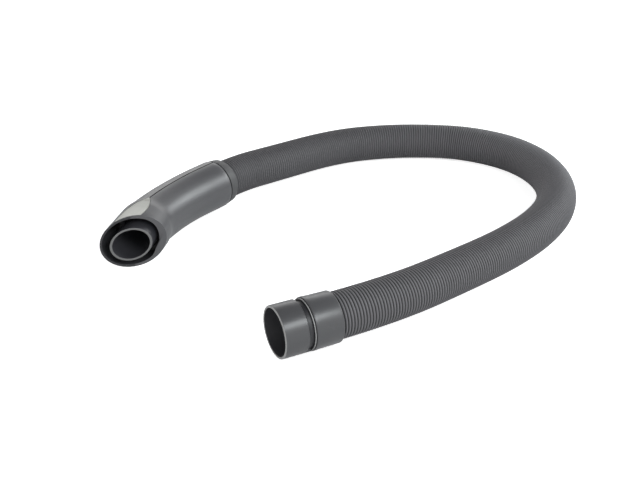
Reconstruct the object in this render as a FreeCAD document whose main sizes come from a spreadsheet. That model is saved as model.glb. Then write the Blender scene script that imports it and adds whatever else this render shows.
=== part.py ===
import FreeCAD, Part
import math
import os

import Sketcher
from FreeCAD import Placement, Rotation, Vector

# Vacuum cleaner hose set, lying on the floor as photographed.
# Millimetres, +Z up, floor at z = 0. The grip's mouth faces -Y.
# The origin is the bottom centre of the box round the grip and the machine cuff.

doc = FreeCAD.newDocument("vacuum_hose")
sheet = doc.addObject("Spreadsheet::Sheet", "Sizes")

SIZES = {
    # ribbed hose
    "hose_od": 39.4,
    "hose_bore": 32.0,
    "rib_depth": 1.3,
    "rib_count": 200,
    "hose_clearance": 0.1,
    # where the grip and the cuff lie on the floor, and how the cuff is turned
    "mouth_x": -93.13,
    "mouth_y": -17.19,
    "cuff_x": 64.71,
    "cuff_y": -127.64,
    "cuff_heading": 38.25,
    # centreline of the grip, from the rim of its duct backwards
    "mouth_straight": 32.0,
    "neck_bend_radius": 100.0,
    "neck_bend_angle": 10.0,
    "grip_bend_radius": 270.0,
    "grip_bend_angle": 16.55,
    "rear_straight": 20.6,
    # outside of the grip
    "mouth_od": 50.8,
    "waist_od": 47.8,
    "grip_od": 47.4,
    "rear_od": 48.4,
    "shell_wall": 2.0,
    "waist_blend": 18.0,
    "swell_length": 60.6,
    "mouth_slant": 33.5,
    "rim_setback": 5.7,
    "mouth_pocket_od": 46.4,
    "mouth_pocket_shift": 0.6,
    "mouth_pocket_depth": 32.0,
    "bulkhead_thickness": 2.5,
    # duct in the grip, which the wand goes over
    "duct_od": 32.0,
    "duct_wall": 1.8,
    "duct_clearance": 0.1,
    "duct_tail": 5.0,
    "duct_seal_width": 2.5,
    "duct_seal_height": 2.4,
    "duct_seal_seat": 0.4,
    "duct_rib_thickness": 2.0,
    "middle_rib_place": 84.0,
    "rear_rib_place": 116.0,
    # inlays in the sides of the mouth
    "inlay_recess": 2.6,
    "inlay_thickness": 1.6,
    "inlay_gap": 0.5,
    "recess_wall": 1.5,
    "inlay_tip_side": 0.9,
    "inlay_tip_place": 50.0,
    "inlay_inner_side": 8.7,
    "inlay_inner_place": 28.0,
    "inlay_inner_front_side": 7.6,
    "inlay_inner_front_place": 4.0,
    "inlay_outer_side": -10.6,
    "inlay_outer_place": 24.0,
    "inlay_outer_front_side": -13.2,
    "inlay_post_diameter": 3.0,
    "front_post_side": -1.5,
    "front_post_place": 20.0,
    "rear_post_side": 0.5,
    "rear_post_place": 40.0,
    # screws through the half shells
    "screw_shank": 2.2,
    "screw_head": 4.4,
    "screw_head_height": 1.6,
    "screw_length": 14.0,
    "screw_height": 19.2,
    "screw_inset": 9.0,
    "screw_clearance": 0.1,
    "cross_length": 2.6,
    "cross_width": 0.7,
    "cross_depth": 1.0,
    "boss_diameter": 5.4,
    "front_screw_place": 56.0,
    "rear_screw_place": 112.0,
    # swivel at the rear of the grip
    "sleeve_wall": 1.2,
    "sleeve_flange_od": 43.8,
    "sleeve_flange_width": 3.6,
    "sleeve_front_wall": 1.4,
    "sleeve_nose_wall": 1.8,
    "sleeve_nose_reach": 4.0,
    "sleeve_seal_width": 2.0,
    "swivel_clearance": 0.3,
    "rear_lip_width": 3.0,
    "collar_width": 11.1,
    "collar_gap": 0.4,
    "collar_rear_od": 45.0,
    "collar_lip_width": 1.6,
    "hose_seat": 9.0,
    # machine cuff
    "spigot_od": 42.9,
    "spigot_length": 24.6,
    "spigot_wall": 2.0,
    "spigot_bore_depth": 17.0,
    "slot_front": 19.0,
    "slot_depth": 2.4,
    "slot_angle": 195.0,
    "slot_start": -150.0,
    "neck_od": 38.4,
    "neck_length": 11.0,
    "neck_lip_od": 40.8,
    "neck_lip_width": 2.2,
    "ring_gap": 0.4,
    "ring_width": 1.4,
    "ring_od": 42.0,
    "cuff_collar_od": 43.6,
    "cuff_collar_waist_od": 43.1,
    "cuff_collar_rear_od": 42.8,
    "cuff_length": 50.5,
    "cuff_hose_seat": 38.0,
    "insert_wall": 1.5,
    "insert_nose": 29.0,
    "insert_tail": 56.0,
    "insert_flange": 1.8,
    "insert_seal_width": 2.0,
    "insert_seal_depth": 0.7,
    "insert_seal_place": 31.0,
    "spigot_round": 0.8,
    "collar_round": 1.2,
    "swivel_round": 2.0,
    "swivel_front_round": 0.5,
}

# The hose's route between its straight ends, with each point's height, chosen from the photograph.
# The ends follow from the cuff's axis and the grip's rear axis, and these are their straight runs.
CUFF_RUN = 64.4
GRIP_RUN = 44.8
ROUTE = [
    (206.6, 10.3, 19.7),
    (239.4, 51.8, 19.7),
    (266.6, 96.7, 19.7),
    (283.7, 144.6, 19.7),
    (285.9, 196.2, 19.7),
    (270.2, 245.5, 19.7),
    (237.5, 282.5, 19.7),
    (191.1, 301.5, 19.7),
    (149.0, 302.0, 19.7),
    (94.1, 289.9, 19.7),
    (40.1, 262.0, 19.7),
]
# A rib's outline along one pitch: share of the pitch, and whether it is at the crest.
RIB = [(0.0, False), (0.22, True), (0.5, True), (0.72, False)]
# The share of the shorter run that a bend of the route takes up on each side of its corner.
BEND_SHARE = 0.45


def fill_sheet():
    for row, (name, value) in enumerate(SIZES.items(), start=1):
        sheet.set("A%d" % row, name)
        sheet.set("B%d" % row, repr(value))
        sheet.setAlias("B%d" % row, name)
    doc.recompute()


def size(name):
    return float(sheet.get(name))


# Most distance between two sections of the grip.
SECTION_STEP = 7.0


def grip_path(length, sideways=0.0):
    """Point and heading in degrees on the grip's centreline, in the grip's own frame."""
    runs = [
        (size("mouth_straight"), 0.0),
        (size("neck_bend_radius"), size("neck_bend_angle")),
        (size("grip_bend_radius"), size("grip_bend_angle")),
        (math.inf, 0.0),
    ]
    point = Vector(0, 0, 0)
    heading = 90.0
    left = length
    for amount, angle in runs:
        forward = Vector(math.cos(math.radians(heading)), math.sin(math.radians(heading)), 0)
        right = Vector(forward.y, -forward.x, 0)
        if angle == 0.0:
            step = min(left, amount)
            point += forward * step
        else:
            step = min(left, amount * math.radians(angle))
            turned = step / amount
            point += forward * (amount * math.sin(turned))
            point += right * (amount * (1 - math.cos(turned)))
            heading -= math.degrees(turned)
        left -= step
        if left <= 0:
            break
    right = Vector(math.sin(math.radians(heading)), -math.cos(math.radians(heading)), 0)
    return point + right * sideways, heading


def bend_end():
    """Length of the grip's centreline up to its straight rear end."""
    neck = size("neck_bend_radius") * math.radians(size("neck_bend_angle"))
    grip = size("grip_bend_radius") * math.radians(size("grip_bend_angle"))
    return size("mouth_straight") + neck + grip


def grip_place():
    return Placement(Vector(size("mouth_x"), size("mouth_y"), size("mouth_od") / 2), Rotation())


def rear_place():
    """The rear straight's own frame: its origin where the bend ends, +Y along the hose."""
    point, heading = grip_path(bend_end())
    local = Placement(point, Rotation(Vector(0, 0, 1), heading - 90))
    return grip_place().multiply(local)


def cuff_place():
    origin = Vector(size("cuff_x"), size("cuff_y"), size("cuff_collar_od") / 2)
    return Placement(origin, Rotation(Vector(0, 0, 1), size("cuff_heading") - 90))


def plane(body, role):
    return next(item for item in body.Origin.OriginFeatures if item.Role == role)


def outline_sketch(body, name, corners):
    """A closed outline on the body's XY plane. Each corner is a pair of expressions."""
    sketch = body.newObject("Sketcher::SketchObject", name)
    sketch.AttachmentSupport = [(plane(body, "XY_Plane"), "")]
    sketch.MapMode = "FlatFace"
    values = [(evaluate(sketch, across), evaluate(sketch, along)) for across, along in corners]
    count = len(corners)
    for index in range(count):
        start = Vector(*values[index], 0)
        end = Vector(*values[(index + 1) % count], 0)
        sketch.addGeometry(Part.LineSegment(start, end))
    for index in range(count):
        sketch.addConstraint(Sketcher.Constraint("Coincident", index, 2, (index + 1) % count, 1))
    for index, (across, along) in enumerate(corners):
        for kind, text, value in (("DistanceX", across, values[index][0]),
                                  ("DistanceY", along, values[index][1])):
            number = sketch.addConstraint(Sketcher.Constraint(kind, -1, 1, index, 1, value))
            sketch.setExpression("Constraints[%d]" % number, text)
    return sketch


def evaluate(item, text):
    result = item.evalExpression(text)
    return float(getattr(result, "Value", result))


def turned_body(label, corners, place):
    """A body of revolution about its own Y axis."""
    body = doc.addObject("PartDesign::Body", label)
    body.Label = label
    body.Placement = place
    sketch = outline_sketch(body, label + "_outline", corners)
    turn = body.newObject("PartDesign::Revolution", label + "_turned")
    turn.Profile = sketch
    turn.ReferenceAxis = (sketch, ["V_Axis"])
    turn.Angle = 360
    doc.recompute()
    return body


def radius(name, extra=""):
    return "Sizes.%s / 2%s" % (name, extra)


def round_rims(body, wanted, amount):
    """Rounds the circular edges whose (radius, place along Y) is wanted."""
    last = body.Tip
    names = []
    for number, edge in enumerate(last.Shape.Edges, start=1):
        curve = edge.Curve
        if not isinstance(curve, Part.Circle):
            continue
        for circle_radius, along in wanted:
            if abs(curve.Radius - circle_radius) < 0.01 and abs(curve.Center.y - along) < 0.01:
                names.append("Edge%d" % number)
    fillet = body.newObject("PartDesign::Fillet", body.Label + "_rounds")
    fillet.Base = (last, names)
    fillet.setExpression("Radius", amount)
    doc.recompute()


def circle_at(name, place, expression):
    ring = doc.addObject("Part::Circle", name)
    ring.Placement = place
    ring.setExpression("Radius", expression)
    return ring


def grip_station(length):
    """Placement of a section across the grip's centreline."""
    point, heading = grip_path(length)
    turn = Rotation(Vector(0, 0, 1), heading - 90).multiply(Rotation(Vector(1, 0, 0), -90))
    return Placement(point, turn)


def grip_line(name, start, end):
    """The grip's centreline between two lengths, as a wire of lines and arcs."""
    neck_end = size("mouth_straight") + size("neck_bend_radius") * math.radians(size("neck_bend_angle"))
    breaks = [start]
    breaks += [place for place in (size("mouth_straight"), neck_end, bend_end()) if start < place < end]
    breaks.append(end)
    edges = []
    for first, last in zip(breaks, breaks[1:]):
        a = grip_path(first)[0] if first >= 0 else Vector(0, first, 0)
        b = grip_path(last)[0]
        middle = grip_path((first + last) / 2)[0]
        if last <= size("mouth_straight") or first >= bend_end() - 1e-6:
            edges.append(Part.makeLine(a, b))
        else:
            edges.append(Part.Arc(a, middle, b).toShape())
    line = doc.addObject("Part::Feature", name)
    line.Shape = Part.Wire(edges)
    return line


def sweep(name, line, sections):
    swept = doc.addObject("Part::Sweep", name)
    swept.Sections = sections
    swept.Spine = (line, ["Edge%d" % (number + 1) for number in range(len(line.Shape.Edges))])
    swept.Solid = True
    swept.Frenet = False
    return swept


def grip_solid(name, stations, less=""):
    """A solid round the grip's centreline, through stations of (length, diameter's name)."""
    line = grip_line(name + "_line", stations[0][0], stations[-1][0])
    measures = [(stations[0][0], radius(stations[0][1], less))]
    for (start, before), (end, after) in zip(stations, stations[1:]):
        steps = 1 if len(stations) == 2 else max(1, round((end - start) / SECTION_STEP))
        for step in range(1, steps + 1):
            share = step / steps
            ease = share * share * (3 - 2 * share)
            blend = "(Sizes.%s * %.6f + Sizes.%s * %.6f) / 2%s" % (before, 1 - ease, after, ease, less)
            measures.append((start + share * (end - start), blend))
    sections = []
    for number, (length, expression) in enumerate(measures):
        place = grip_station(max(length, 0.0))
        place.Base += Vector(0, min(length, 0.0), 0)
        sections.append(circle_at("%s_section_%d" % (name, number), place, expression))
    return sweep(name, line, sections)


def cut(name, base, tool):
    result = doc.addObject("Part::Cut", name)
    result.Base = base
    result.Tool = tool
    return result


def fuse(name, shapes):
    result = doc.addObject("Part::MultiFuse", name)
    result.Shapes = shapes
    return result


def common(name, shapes):
    result = doc.addObject("Part::MultiCommon", name)
    result.Shapes = shapes
    return result


def cylinder(name, place, radius_text, height_text):
    item = doc.addObject("Part::Cylinder", name)
    item.Placement = place
    item.setExpression("Radius", radius_text)
    item.setExpression("Height", height_text)
    return item


def across_grip(length, height, side):
    """Placement at a length of the grip with +Z pointing across it, to the inner side."""
    point, heading = grip_path(length, side)
    turn = Rotation(Vector(0, 0, 1), heading - 90).multiply(Rotation(Vector(0, 1, 0), 90))
    return Placement(point + Vector(0, 0, height), turn)


def leaf_prism(name, gap, low, high):
    """Leaf-shaped prism seen from the side of the grip: tip backwards, open to the front."""
    tip = Vector(size("inlay_tip_side"), size("inlay_tip_place") + gap, 0)
    inner = Vector(size("inlay_inner_side") + gap, size("inlay_inner_place"), 0)
    outer = Vector(size("inlay_outer_side") - gap, size("inlay_outer_place"), 0)
    inner_front = Vector(size("inlay_inner_front_side") + gap, size("inlay_inner_front_place"), 0)
    outer_front = Vector(size("inlay_outer_front_side") - gap, 0, 0)
    front = -size("mouth_od")
    edges = [
        Part.Arc(tip, inner, inner_front).toShape(),
        Part.makeLine(inner_front, Vector(inner_front.x, front, 0)),
        Part.makeLine(Vector(inner_front.x, front, 0), Vector(outer_front.x, front, 0)),
        Part.makeLine(Vector(outer_front.x, front, 0), outer_front),
        Part.Arc(outer_front, outer, tip).toShape(),
    ]
    face = Part.Face(Part.Wire(edges))
    face.translate(Vector(0, 0, low))
    prism = doc.addObject("Part::Feature", name)
    prism.Shape = face.extrude(Vector(0, 0, high - low))
    return prism


def slant_cutter(name, setback):
    """Everything in front of the slanted rim, which lies the given way back along the axis."""
    turn = Rotation(Vector(0, 0, 1), size("mouth_slant"))
    reach = 4 * size("mouth_od")
    cutter = doc.addObject("Part::Box", name)
    cutter.Length = reach
    cutter.Width = reach
    cutter.Height = reach
    corner = Placement(Vector(0, setback, 0), turn)
    cutter.Placement = corner.multiply(Placement(Vector(-reach / 2, -reach, -reach / 2), Rotation()))
    return cutter


def inner_side(name):
    """The half space on the grip's concave side, bounded by its centreline."""
    reach = 2 * size("mouth_od")
    front = -reach / 2
    back = bend_end() + size("rear_straight") + reach / 4
    line = grip_line(name + "_line", front, back).Shape
    start = line.OrderedVertexes[0].Point
    end = line.OrderedVertexes[-1].Point
    far_end = grip_path(back, reach)[0]
    far_start = Vector(far_end.x, start.y, 0)
    edges = list(line.Edges)
    edges += [Part.makeLine(end, far_end), Part.makeLine(far_end, far_start), Part.makeLine(far_start, start)]
    face = Part.Face(Part.Wire(edges))
    face.translate(Vector(0, 0, -size("mouth_od")))
    side = doc.addObject("Part::Feature", name)
    side.Shape = face.extrude(Vector(0, 0, 2 * size("mouth_od")))
    return side


def grip_disc(name, length, outside, hole, thickness):
    """A ring across the grip, held in the shells."""
    disc = cylinder(name + "_disc", grip_station(length), outside, thickness)
    bore = cylinder(name + "_bore", grip_station(length), hole, thickness)
    return cut(name, disc, bore)


def screw_places():
    places = []
    for length in (size("front_screw_place"), size("rear_screw_place")):
        for height in (size("screw_height"), -size("screw_height")):
            places.append((length, height))
    return places


def make_shells():
    end = bend_end() + size("rear_straight")
    waist = size("mouth_straight") + size("waist_blend")
    swell = end - size("swell_length")
    front = -size("mouth_od") / 2
    outside = [(front, "mouth_od"), (size("mouth_straight"), "mouth_od"), (waist, "waist_od"),
               (swell, "grip_od"), (end, "rear_od")]
    outer = grip_solid("grip_outside", outside)
    floor = grip_solid("recess_floor", outside, " - Sizes.inlay_recess")
    pad_floor = grip_solid("inlay_underside", outside, " - Sizes.inlay_thickness")
    inside_start = size("mouth_pocket_depth") + size("bulkhead_thickness")
    inside = [(inside_start, "waist_od"), (waist, "waist_od"), (swell, "grip_od"), (end, "rear_od")]
    core = grip_solid("grip_inside", inside, " - Sizes.shell_wall")
    pocket_start = Vector(-size("mouth_pocket_shift"), front * 2, 0)
    pocket_place = Placement(pocket_start, Rotation(Vector(1, 0, 0), -90))
    round_pocket = cylinder("round_pocket", pocket_place, radius("mouth_pocket_od"),
                            "Sizes.mouth_pocket_depth + Sizes.mouth_od")
    reach = size("mouth_od")
    core_of_recess = grip_solid("recess_wall_inside", outside, " - Sizes.inlay_recess - Sizes.recess_wall")
    backing = cut("recess_backing",
                  leaf_prism("backing_prism", size("inlay_gap") + size("recess_wall"), -reach, reach),
                  core_of_recess)
    pocket = cut("mouth_pocket", round_pocket, backing)
    duct_way = cylinder("duct_way", grip_station(0.0), radius("duct_od", " + Sizes.duct_clearance"),
                        "Sizes.mouth_pocket_depth + 2 * Sizes.bulkhead_thickness")
    hollow = fuse("grip_hollow", [core, pocket, duct_way])
    walls = cut("grip_walls", outer, hollow)

    wall_middle = " - Sizes.shell_wall / 2"
    hole = radius("duct_od", " + Sizes.duct_clearance")
    rib = "Sizes.duct_rib_thickness"
    middle_rib = grip_disc("middle_rib", size("middle_rib_place"), radius("grip_od", wall_middle), hole, rib)
    rear_rib = grip_disc("rear_rib", size("rear_rib_place"), radius("grip_od", wall_middle), hole, rib)
    lip_hole = "Sizes.hose_od / 2 + Sizes.hose_clearance + Sizes.sleeve_wall + Sizes.swivel_clearance"
    lip_place = end - size("rear_lip_width")
    rear_lip = grip_disc("rear_lip", lip_place, radius("rear_od", wall_middle), lip_hole,
                         "Sizes.rear_lip_width")
    flange_room = size("sleeve_flange_width") + 2 * size("swivel_clearance")
    guide_place = lip_place - flange_room - size("duct_rib_thickness")
    guide = grip_disc("flange_guide", guide_place, radius("grip_od", wall_middle), lip_hole, rib)
    bosses = []
    for number, (length, height) in enumerate(screw_places()):
        place = across_grip(length, height, -size("grip_od") / 2)
        bosses.append(cylinder("boss_%d" % number, place, radius("boss_diameter"), "Sizes.grip_od"))
    boss_limit = grip_solid("boss_limit", inside, " - Sizes.shell_wall / 2")
    kept_bosses = common("kept_bosses", [fuse("all_bosses", bosses), boss_limit])
    whole = fuse("grip_whole", [walls, middle_rib, rear_rib, rear_lip, guide, kept_bosses])

    tools = [slant_cutter("shell_rim", size("rim_setback"))]
    post_room = " + Sizes.screw_clearance"
    for side, low, high in (("upper", 0.0, reach), ("lower", -reach, 0.0)):
        prism = leaf_prism(side + "_recess_prism", size("inlay_gap"), low, high)
        tools.append(cut(side + "_recess", prism, floor))
        for number, (across, along) in enumerate(post_places()):
            place = Placement(Vector(across, along, low), Rotation())
            tools.append(cylinder("%s_post_hole_%d" % (side, number), place,
                                  radius("inlay_post_diameter", post_room), "Sizes.mouth_od"))
    for number, (length, height) in enumerate(screw_places()):
        head_place = across_grip(length, height, -size("grip_od"))
        head_depth = "Sizes.grip_od - Sizes.screw_inset"
        shank_depth = head_depth + " + Sizes.screw_length + Sizes.screw_clearance"
        tools.append(cylinder("head_hole_%d" % number, head_place,
                              radius("screw_head", " + Sizes.screw_clearance"), head_depth))
        tools.append(cylinder("shank_hole_%d" % number, head_place,
                              radius("screw_shank", " + Sizes.screw_clearance"), shank_depth))
    trimmed = cut("grip_trimmed", whole, fuse("grip_tools", tools))
    side = inner_side("concave_side")
    outer_shell = cut("handle_outer_shell", trimmed, side)
    inner_shell = common("handle_inner_shell", [trimmed, side])

    inlays = []
    for name, low, high in (("upper_inlay", 0.0, reach), ("lower_inlay", -reach, 0.0)):
        prism = leaf_prism(name + "_prism", 0.0, low, high)
        leaf = cut(name + "_leaf", common(name + "_blank", [prism, outer]), pad_floor)
        sign = 1 if high > 0 else -1
        posts = []
        for number, (across, along) in enumerate(post_places()):
            outward = Rotation() if sign > 0 else Rotation(Vector(1, 0, 0), 180)
            foot = sign * (size("mouth_od") / 2 - size("inlay_recess") - size("inlay_thickness"))
            place = Placement(Vector(across, along, foot), outward)
            posts.append(cylinder("%s_post_%d" % (name, number), place, radius("inlay_post_diameter"),
                                  "Sizes.inlay_recess + Sizes.inlay_thickness / 2"))
        body = fuse(name + "_body", [leaf] + posts)
        inlays.append(cut(name, body, slant_cutter(name + "_rim", size("rim_setback"))))
    for item in [outer_shell, inner_shell] + inlays:
        item.Placement = grip_place()
        item.Label = item.Name
    return [outer_shell, inner_shell] + inlays


def post_places():
    """Where the inlays' posts stand, across and along the grip."""
    return [(size("front_post_side"), size("front_post_place")),
            (size("rear_post_side"), size("rear_post_place"))]


def make_duct():
    end = bend_end() + size("duct_tail")
    stations = [(-size("duct_od") / 2, "duct_od"), (end, "duct_od")]
    outer = grip_solid("duct_outside", stations)
    bore = grip_solid("duct_bore", stations, " - Sizes.duct_wall")
    pipe = cut("duct_pipe", outer, bore)
    seat_length = "Sizes.duct_seal_width"
    seat_place = grip_station(size("mouth_pocket_depth") - size("duct_seal_width"))
    seat_outside = cylinder("seal_seat_outside", seat_place, radius("duct_od", " + Sizes.duct_seal_height"),
                            seat_length)
    seat_bottom = cylinder("seal_seat_bottom", seat_place, radius("duct_od", " - Sizes.duct_seal_seat"),
                           seat_length)
    seat = cut("seal_seat", seat_outside, seat_bottom)
    duct = cut("wand_duct", pipe, fuse("duct_tools", [slant_cutter("duct_rim", 0.0), seat]))
    duct.Placement = grip_place()
    duct.Label = "wand_duct"

    front = "(Sizes.mouth_pocket_depth - Sizes.duct_seal_width)"
    inner = radius("duct_od", " - Sizes.duct_seal_seat + Sizes.duct_clearance / 2")
    outer_edge = radius("duct_od", " + Sizes.duct_seal_height")
    seal = turned_body("duct_seal", [
        (inner, front),
        (outer_edge, front + " + Sizes.duct_seal_width / 2"),
        (outer_edge, "Sizes.mouth_pocket_depth"),
        (inner, "Sizes.mouth_pocket_depth"),
    ], grip_place())
    return [duct, seal]


def make_screws():
    parts = []
    for number, (length, height) in enumerate(screw_places()):
        head_place = across_grip(length, height, -size("screw_inset") - size("screw_head_height"))
        head = cylinder("screw_head_%d" % number, head_place, radius("screw_head"), "Sizes.screw_head_height")
        shank_place = across_grip(length, height, -size("screw_inset"))
        shank = cylinder("screw_shank_%d" % number, shank_place, radius("screw_shank"), "Sizes.screw_length")
        parts.append(cross_recess(fuse("screw_%d" % number, [head, shank]), number, head_place))
    screws = doc.addObject("Part::Compound", "shell_screws")
    screws.Links = parts
    screws.Placement = grip_place()
    screws.Label = "shell_screws"
    return [screws]


def cross_recess(screw, number, head_place):
    """Cuts a cross for the driver into a screw's head."""
    length = size("cross_length")
    width = size("cross_width")
    depth = size("cross_depth")
    bars = []
    for turn, (long_side, short_side) in enumerate(((length, width), (width, length))):
        bar = doc.addObject("Part::Box", "cross_%d_%d" % (number, turn))
        bar.Length = long_side
        bar.Width = short_side
        bar.Height = depth
        bar.Placement = head_place.multiply(Placement(Vector(-long_side / 2, -short_side / 2, 0), Rotation()))
        bars.append(bar)
    return cut("crossed_screw_%d" % number, screw, fuse("cross_%d" % number, bars))


def make_swivel():
    """Threaded sleeve on the hose, its seal, and the grey collar behind the grip."""
    bore = radius("hose_od", " + Sizes.hose_clearance")
    barrel = bore + " + Sizes.sleeve_wall"
    nose = radius("duct_od", " + Sizes.duct_clearance")
    wall_back = "Sizes.hose_seat - Sizes.swivel_clearance"
    wall_front = wall_back + " - Sizes.sleeve_front_wall"
    flange_back = "Sizes.rear_straight - Sizes.rear_lip_width - Sizes.swivel_clearance"
    flange_front = flange_back + " - Sizes.sleeve_flange_width"
    collar_front = "Sizes.rear_straight + Sizes.collar_gap"
    collar_back = collar_front + " + Sizes.collar_width"
    sleeve_back = collar_back + " - Sizes.collar_lip_width"
    sleeve = turned_body("hose_end_sleeve", [
        (radius("duct_od", " - Sizes.duct_wall"), wall_front),
        (nose, wall_front),
        (nose, "-Sizes.sleeve_nose_reach"),
        (nose + " + Sizes.sleeve_nose_wall", "-Sizes.sleeve_nose_reach"),
        (nose + " + Sizes.sleeve_nose_wall", wall_front),
        (barrel, wall_front),
        (barrel, flange_front),
        (radius("sleeve_flange_od"), flange_front),
        (radius("sleeve_flange_od"), flange_back),
        (barrel, flange_back),
        (barrel, sleeve_back),
        (bore, sleeve_back),
        (bore, wall_back),
        (radius("duct_od", " - Sizes.duct_wall"), wall_back),
    ], rear_place())
    seal_front = wall_front + " - Sizes.duct_clearance - Sizes.sleeve_seal_width"
    seal = turned_body("sleeve_seal", [
        (radius("duct_od", " - Sizes.duct_wall * 2 / 3"), seal_front),
        (radius("duct_od"), seal_front),
        (radius("duct_od"), wall_front + " - Sizes.duct_clearance"),
        (radius("duct_od", " - Sizes.duct_wall * 2 / 3"), wall_front + " - Sizes.duct_clearance"),
    ], rear_place())
    fitted = barrel + " + Sizes.hose_clearance / 2"
    collar = turned_body("swivel_collar", [
        (fitted, collar_front),
        (radius("rear_od", " - Sizes.collar_gap"), collar_front),
        (radius("collar_rear_od"), collar_back),
        (bore + " + Sizes.swivel_clearance", collar_back),
        (bore + " + Sizes.swivel_clearance", sleeve_back),
        (fitted, sleeve_back),
    ], rear_place())
    back = size("rear_straight") + size("collar_gap") + size("collar_width")
    front = size("rear_straight") + size("collar_gap")
    round_rims(collar, [(size("collar_rear_od") / 2, back)], "Sizes.swivel_round")
    round_rims(collar, [(size("rear_od") / 2 - size("collar_gap"), front)], "Sizes.swivel_front_round")
    return [sleeve, seal, collar]


def make_cuff():
    """Machine end: spigot on an insert in the hose, with a light ring and a rear collar."""
    mouth_bore = radius("spigot_od", " - Sizes.spigot_wall")
    nose = radius("hose_bore", " - Sizes.duct_clearance")
    throat = radius("hose_bore")
    neck_back = "Sizes.spigot_length + Sizes.neck_length"
    spigot = turned_body("cuff_spigot", [
        (mouth_bore, "0 * Sizes.spigot_od"),
        (radius("spigot_od"), "0 * Sizes.spigot_od"),
        (radius("spigot_od"), "Sizes.spigot_length"),
        (radius("neck_od"), "Sizes.spigot_length"),
        (radius("neck_od"), neck_back + " - Sizes.neck_lip_width"),
        (radius("neck_lip_od"), neck_back + " - Sizes.neck_lip_width"),
        (radius("neck_lip_od"), neck_back),
        (throat, neck_back),
        (throat, "Sizes.spigot_bore_depth"),
        (mouth_bore, "Sizes.spigot_bore_depth"),
    ], cuff_place())
    round_rims(spigot, [(size("spigot_od") / 2, 0.0)], "Sizes.spigot_round")
    cut_latch_slot(spigot)

    ring_front = "Sizes.spigot_length + Sizes.ring_gap"
    ring_back = ring_front + " + Sizes.ring_width"
    ring = turned_body("cuff_ring", [
        (radius("neck_od", " + Sizes.swivel_clearance"), ring_front),
        (radius("ring_od"), ring_front),
        (radius("ring_od"), ring_back),
        (radius("neck_od", " + Sizes.swivel_clearance"), ring_back),
    ], cuff_place())

    lip_front = neck_back + " - Sizes.neck_lip_width - Sizes.swivel_clearance"
    flange_front = neck_back + " + Sizes.swivel_clearance"
    flange_back = flange_front + " + Sizes.insert_flange"
    hose_hole = radius("hose_od", " + Sizes.hose_clearance")
    lip_room = radius("neck_lip_od", " + Sizes.swivel_clearance")
    collar = turned_body("cuff_collar", [
        (radius("neck_od", " + Sizes.swivel_clearance"), ring_back),
        (radius("cuff_collar_od"), ring_back),
        (radius("cuff_collar_od"), ring_back + " + 2 * Sizes.ring_width"),
        (radius("cuff_collar_waist_od"), ring_back + " + 4 * Sizes.ring_width"),
        (radius("cuff_collar_rear_od"), "Sizes.cuff_length"),
        (hose_hole, "Sizes.cuff_length"),
        (hose_hole, flange_back),
        (lip_room, flange_back),
        (lip_room, lip_front),
        (radius("neck_od", " + Sizes.swivel_clearance"), lip_front),
    ], cuff_place())
    round_rims(collar, [(size("cuff_collar_rear_od") / 2, size("cuff_length"))], "Sizes.collar_round")

    bottom = nose + " - Sizes.insert_seal_depth"
    seal_back = "Sizes.insert_seal_place + Sizes.insert_seal_width"
    insert = turned_body("hose_insert", [
        (nose + " - Sizes.insert_wall", "Sizes.insert_nose"),
        (nose, "Sizes.insert_nose"),
        (nose, "Sizes.insert_seal_place"),
        (bottom, "Sizes.insert_seal_place"),
        (bottom, seal_back),
        (nose, seal_back),
        (nose, flange_front),
        (lip_room + " - Sizes.duct_clearance", flange_front),
        (lip_room + " - Sizes.duct_clearance", flange_back),
        (nose, flange_back),
        (nose, "Sizes.insert_tail"),
        (nose + " - Sizes.insert_wall", "Sizes.insert_tail"),
    ], cuff_place())
    seal = turned_body("spigot_seal", [
        (bottom, "Sizes.insert_seal_place + Sizes.duct_clearance"),
        (throat + " - Sizes.duct_clearance / 2", "Sizes.insert_seal_place + Sizes.duct_clearance"),
        (throat + " - Sizes.duct_clearance / 2", seal_back + " - Sizes.duct_clearance"),
        (bottom, seal_back + " - Sizes.duct_clearance"),
    ], cuff_place())
    return [spigot, ring, collar, insert, seal]


def cut_latch_slot(body):
    """Slot for the machine's latch, part of the way round the spigot, with a dished front."""
    sketch = outline_sketch(body, "slot_outline", [
        (radius("spigot_od", " - Sizes.slot_depth"), "Sizes.slot_front + Sizes.slot_depth"),
        (radius("spigot_od"), "Sizes.slot_front"),
        (radius("spigot_od", " + Sizes.slot_depth"), "Sizes.slot_front"),
        (radius("spigot_od", " + Sizes.slot_depth"), "Sizes.spigot_length + Sizes.slot_depth"),
        (radius("spigot_od", " - Sizes.slot_depth"), "Sizes.spigot_length + Sizes.slot_depth"),
    ])
    sketch.AttachmentOffset = Placement(Vector(0, 0, 0), Rotation(Vector(0, 1, 0), size("slot_start")))
    groove = body.newObject("PartDesign::Groove", "latch_slot")
    groove.Profile = sketch
    groove.ReferenceAxis = (sketch, ["V_Axis"])
    groove.setExpression("Angle", "Sizes.slot_angle")
    doc.recompute()


def route_points():
    """The hose's whole route, its straight ends seated in the cuff and the grip."""
    cuff = cuff_place()
    rear = rear_place()
    start = cuff.multVec(Vector(0, size("cuff_hose_seat"), 0))
    after_cuff = cuff.multVec(Vector(0, size("cuff_hose_seat") + CUFF_RUN, 0))
    before_grip = rear.multVec(Vector(0, size("hose_seat") + GRIP_RUN, 0))
    end = rear.multVec(Vector(0, size("hose_seat"), 0))
    return [start, after_cuff] + [Vector(*point) for point in ROUTE] + [before_grip, end]


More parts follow.
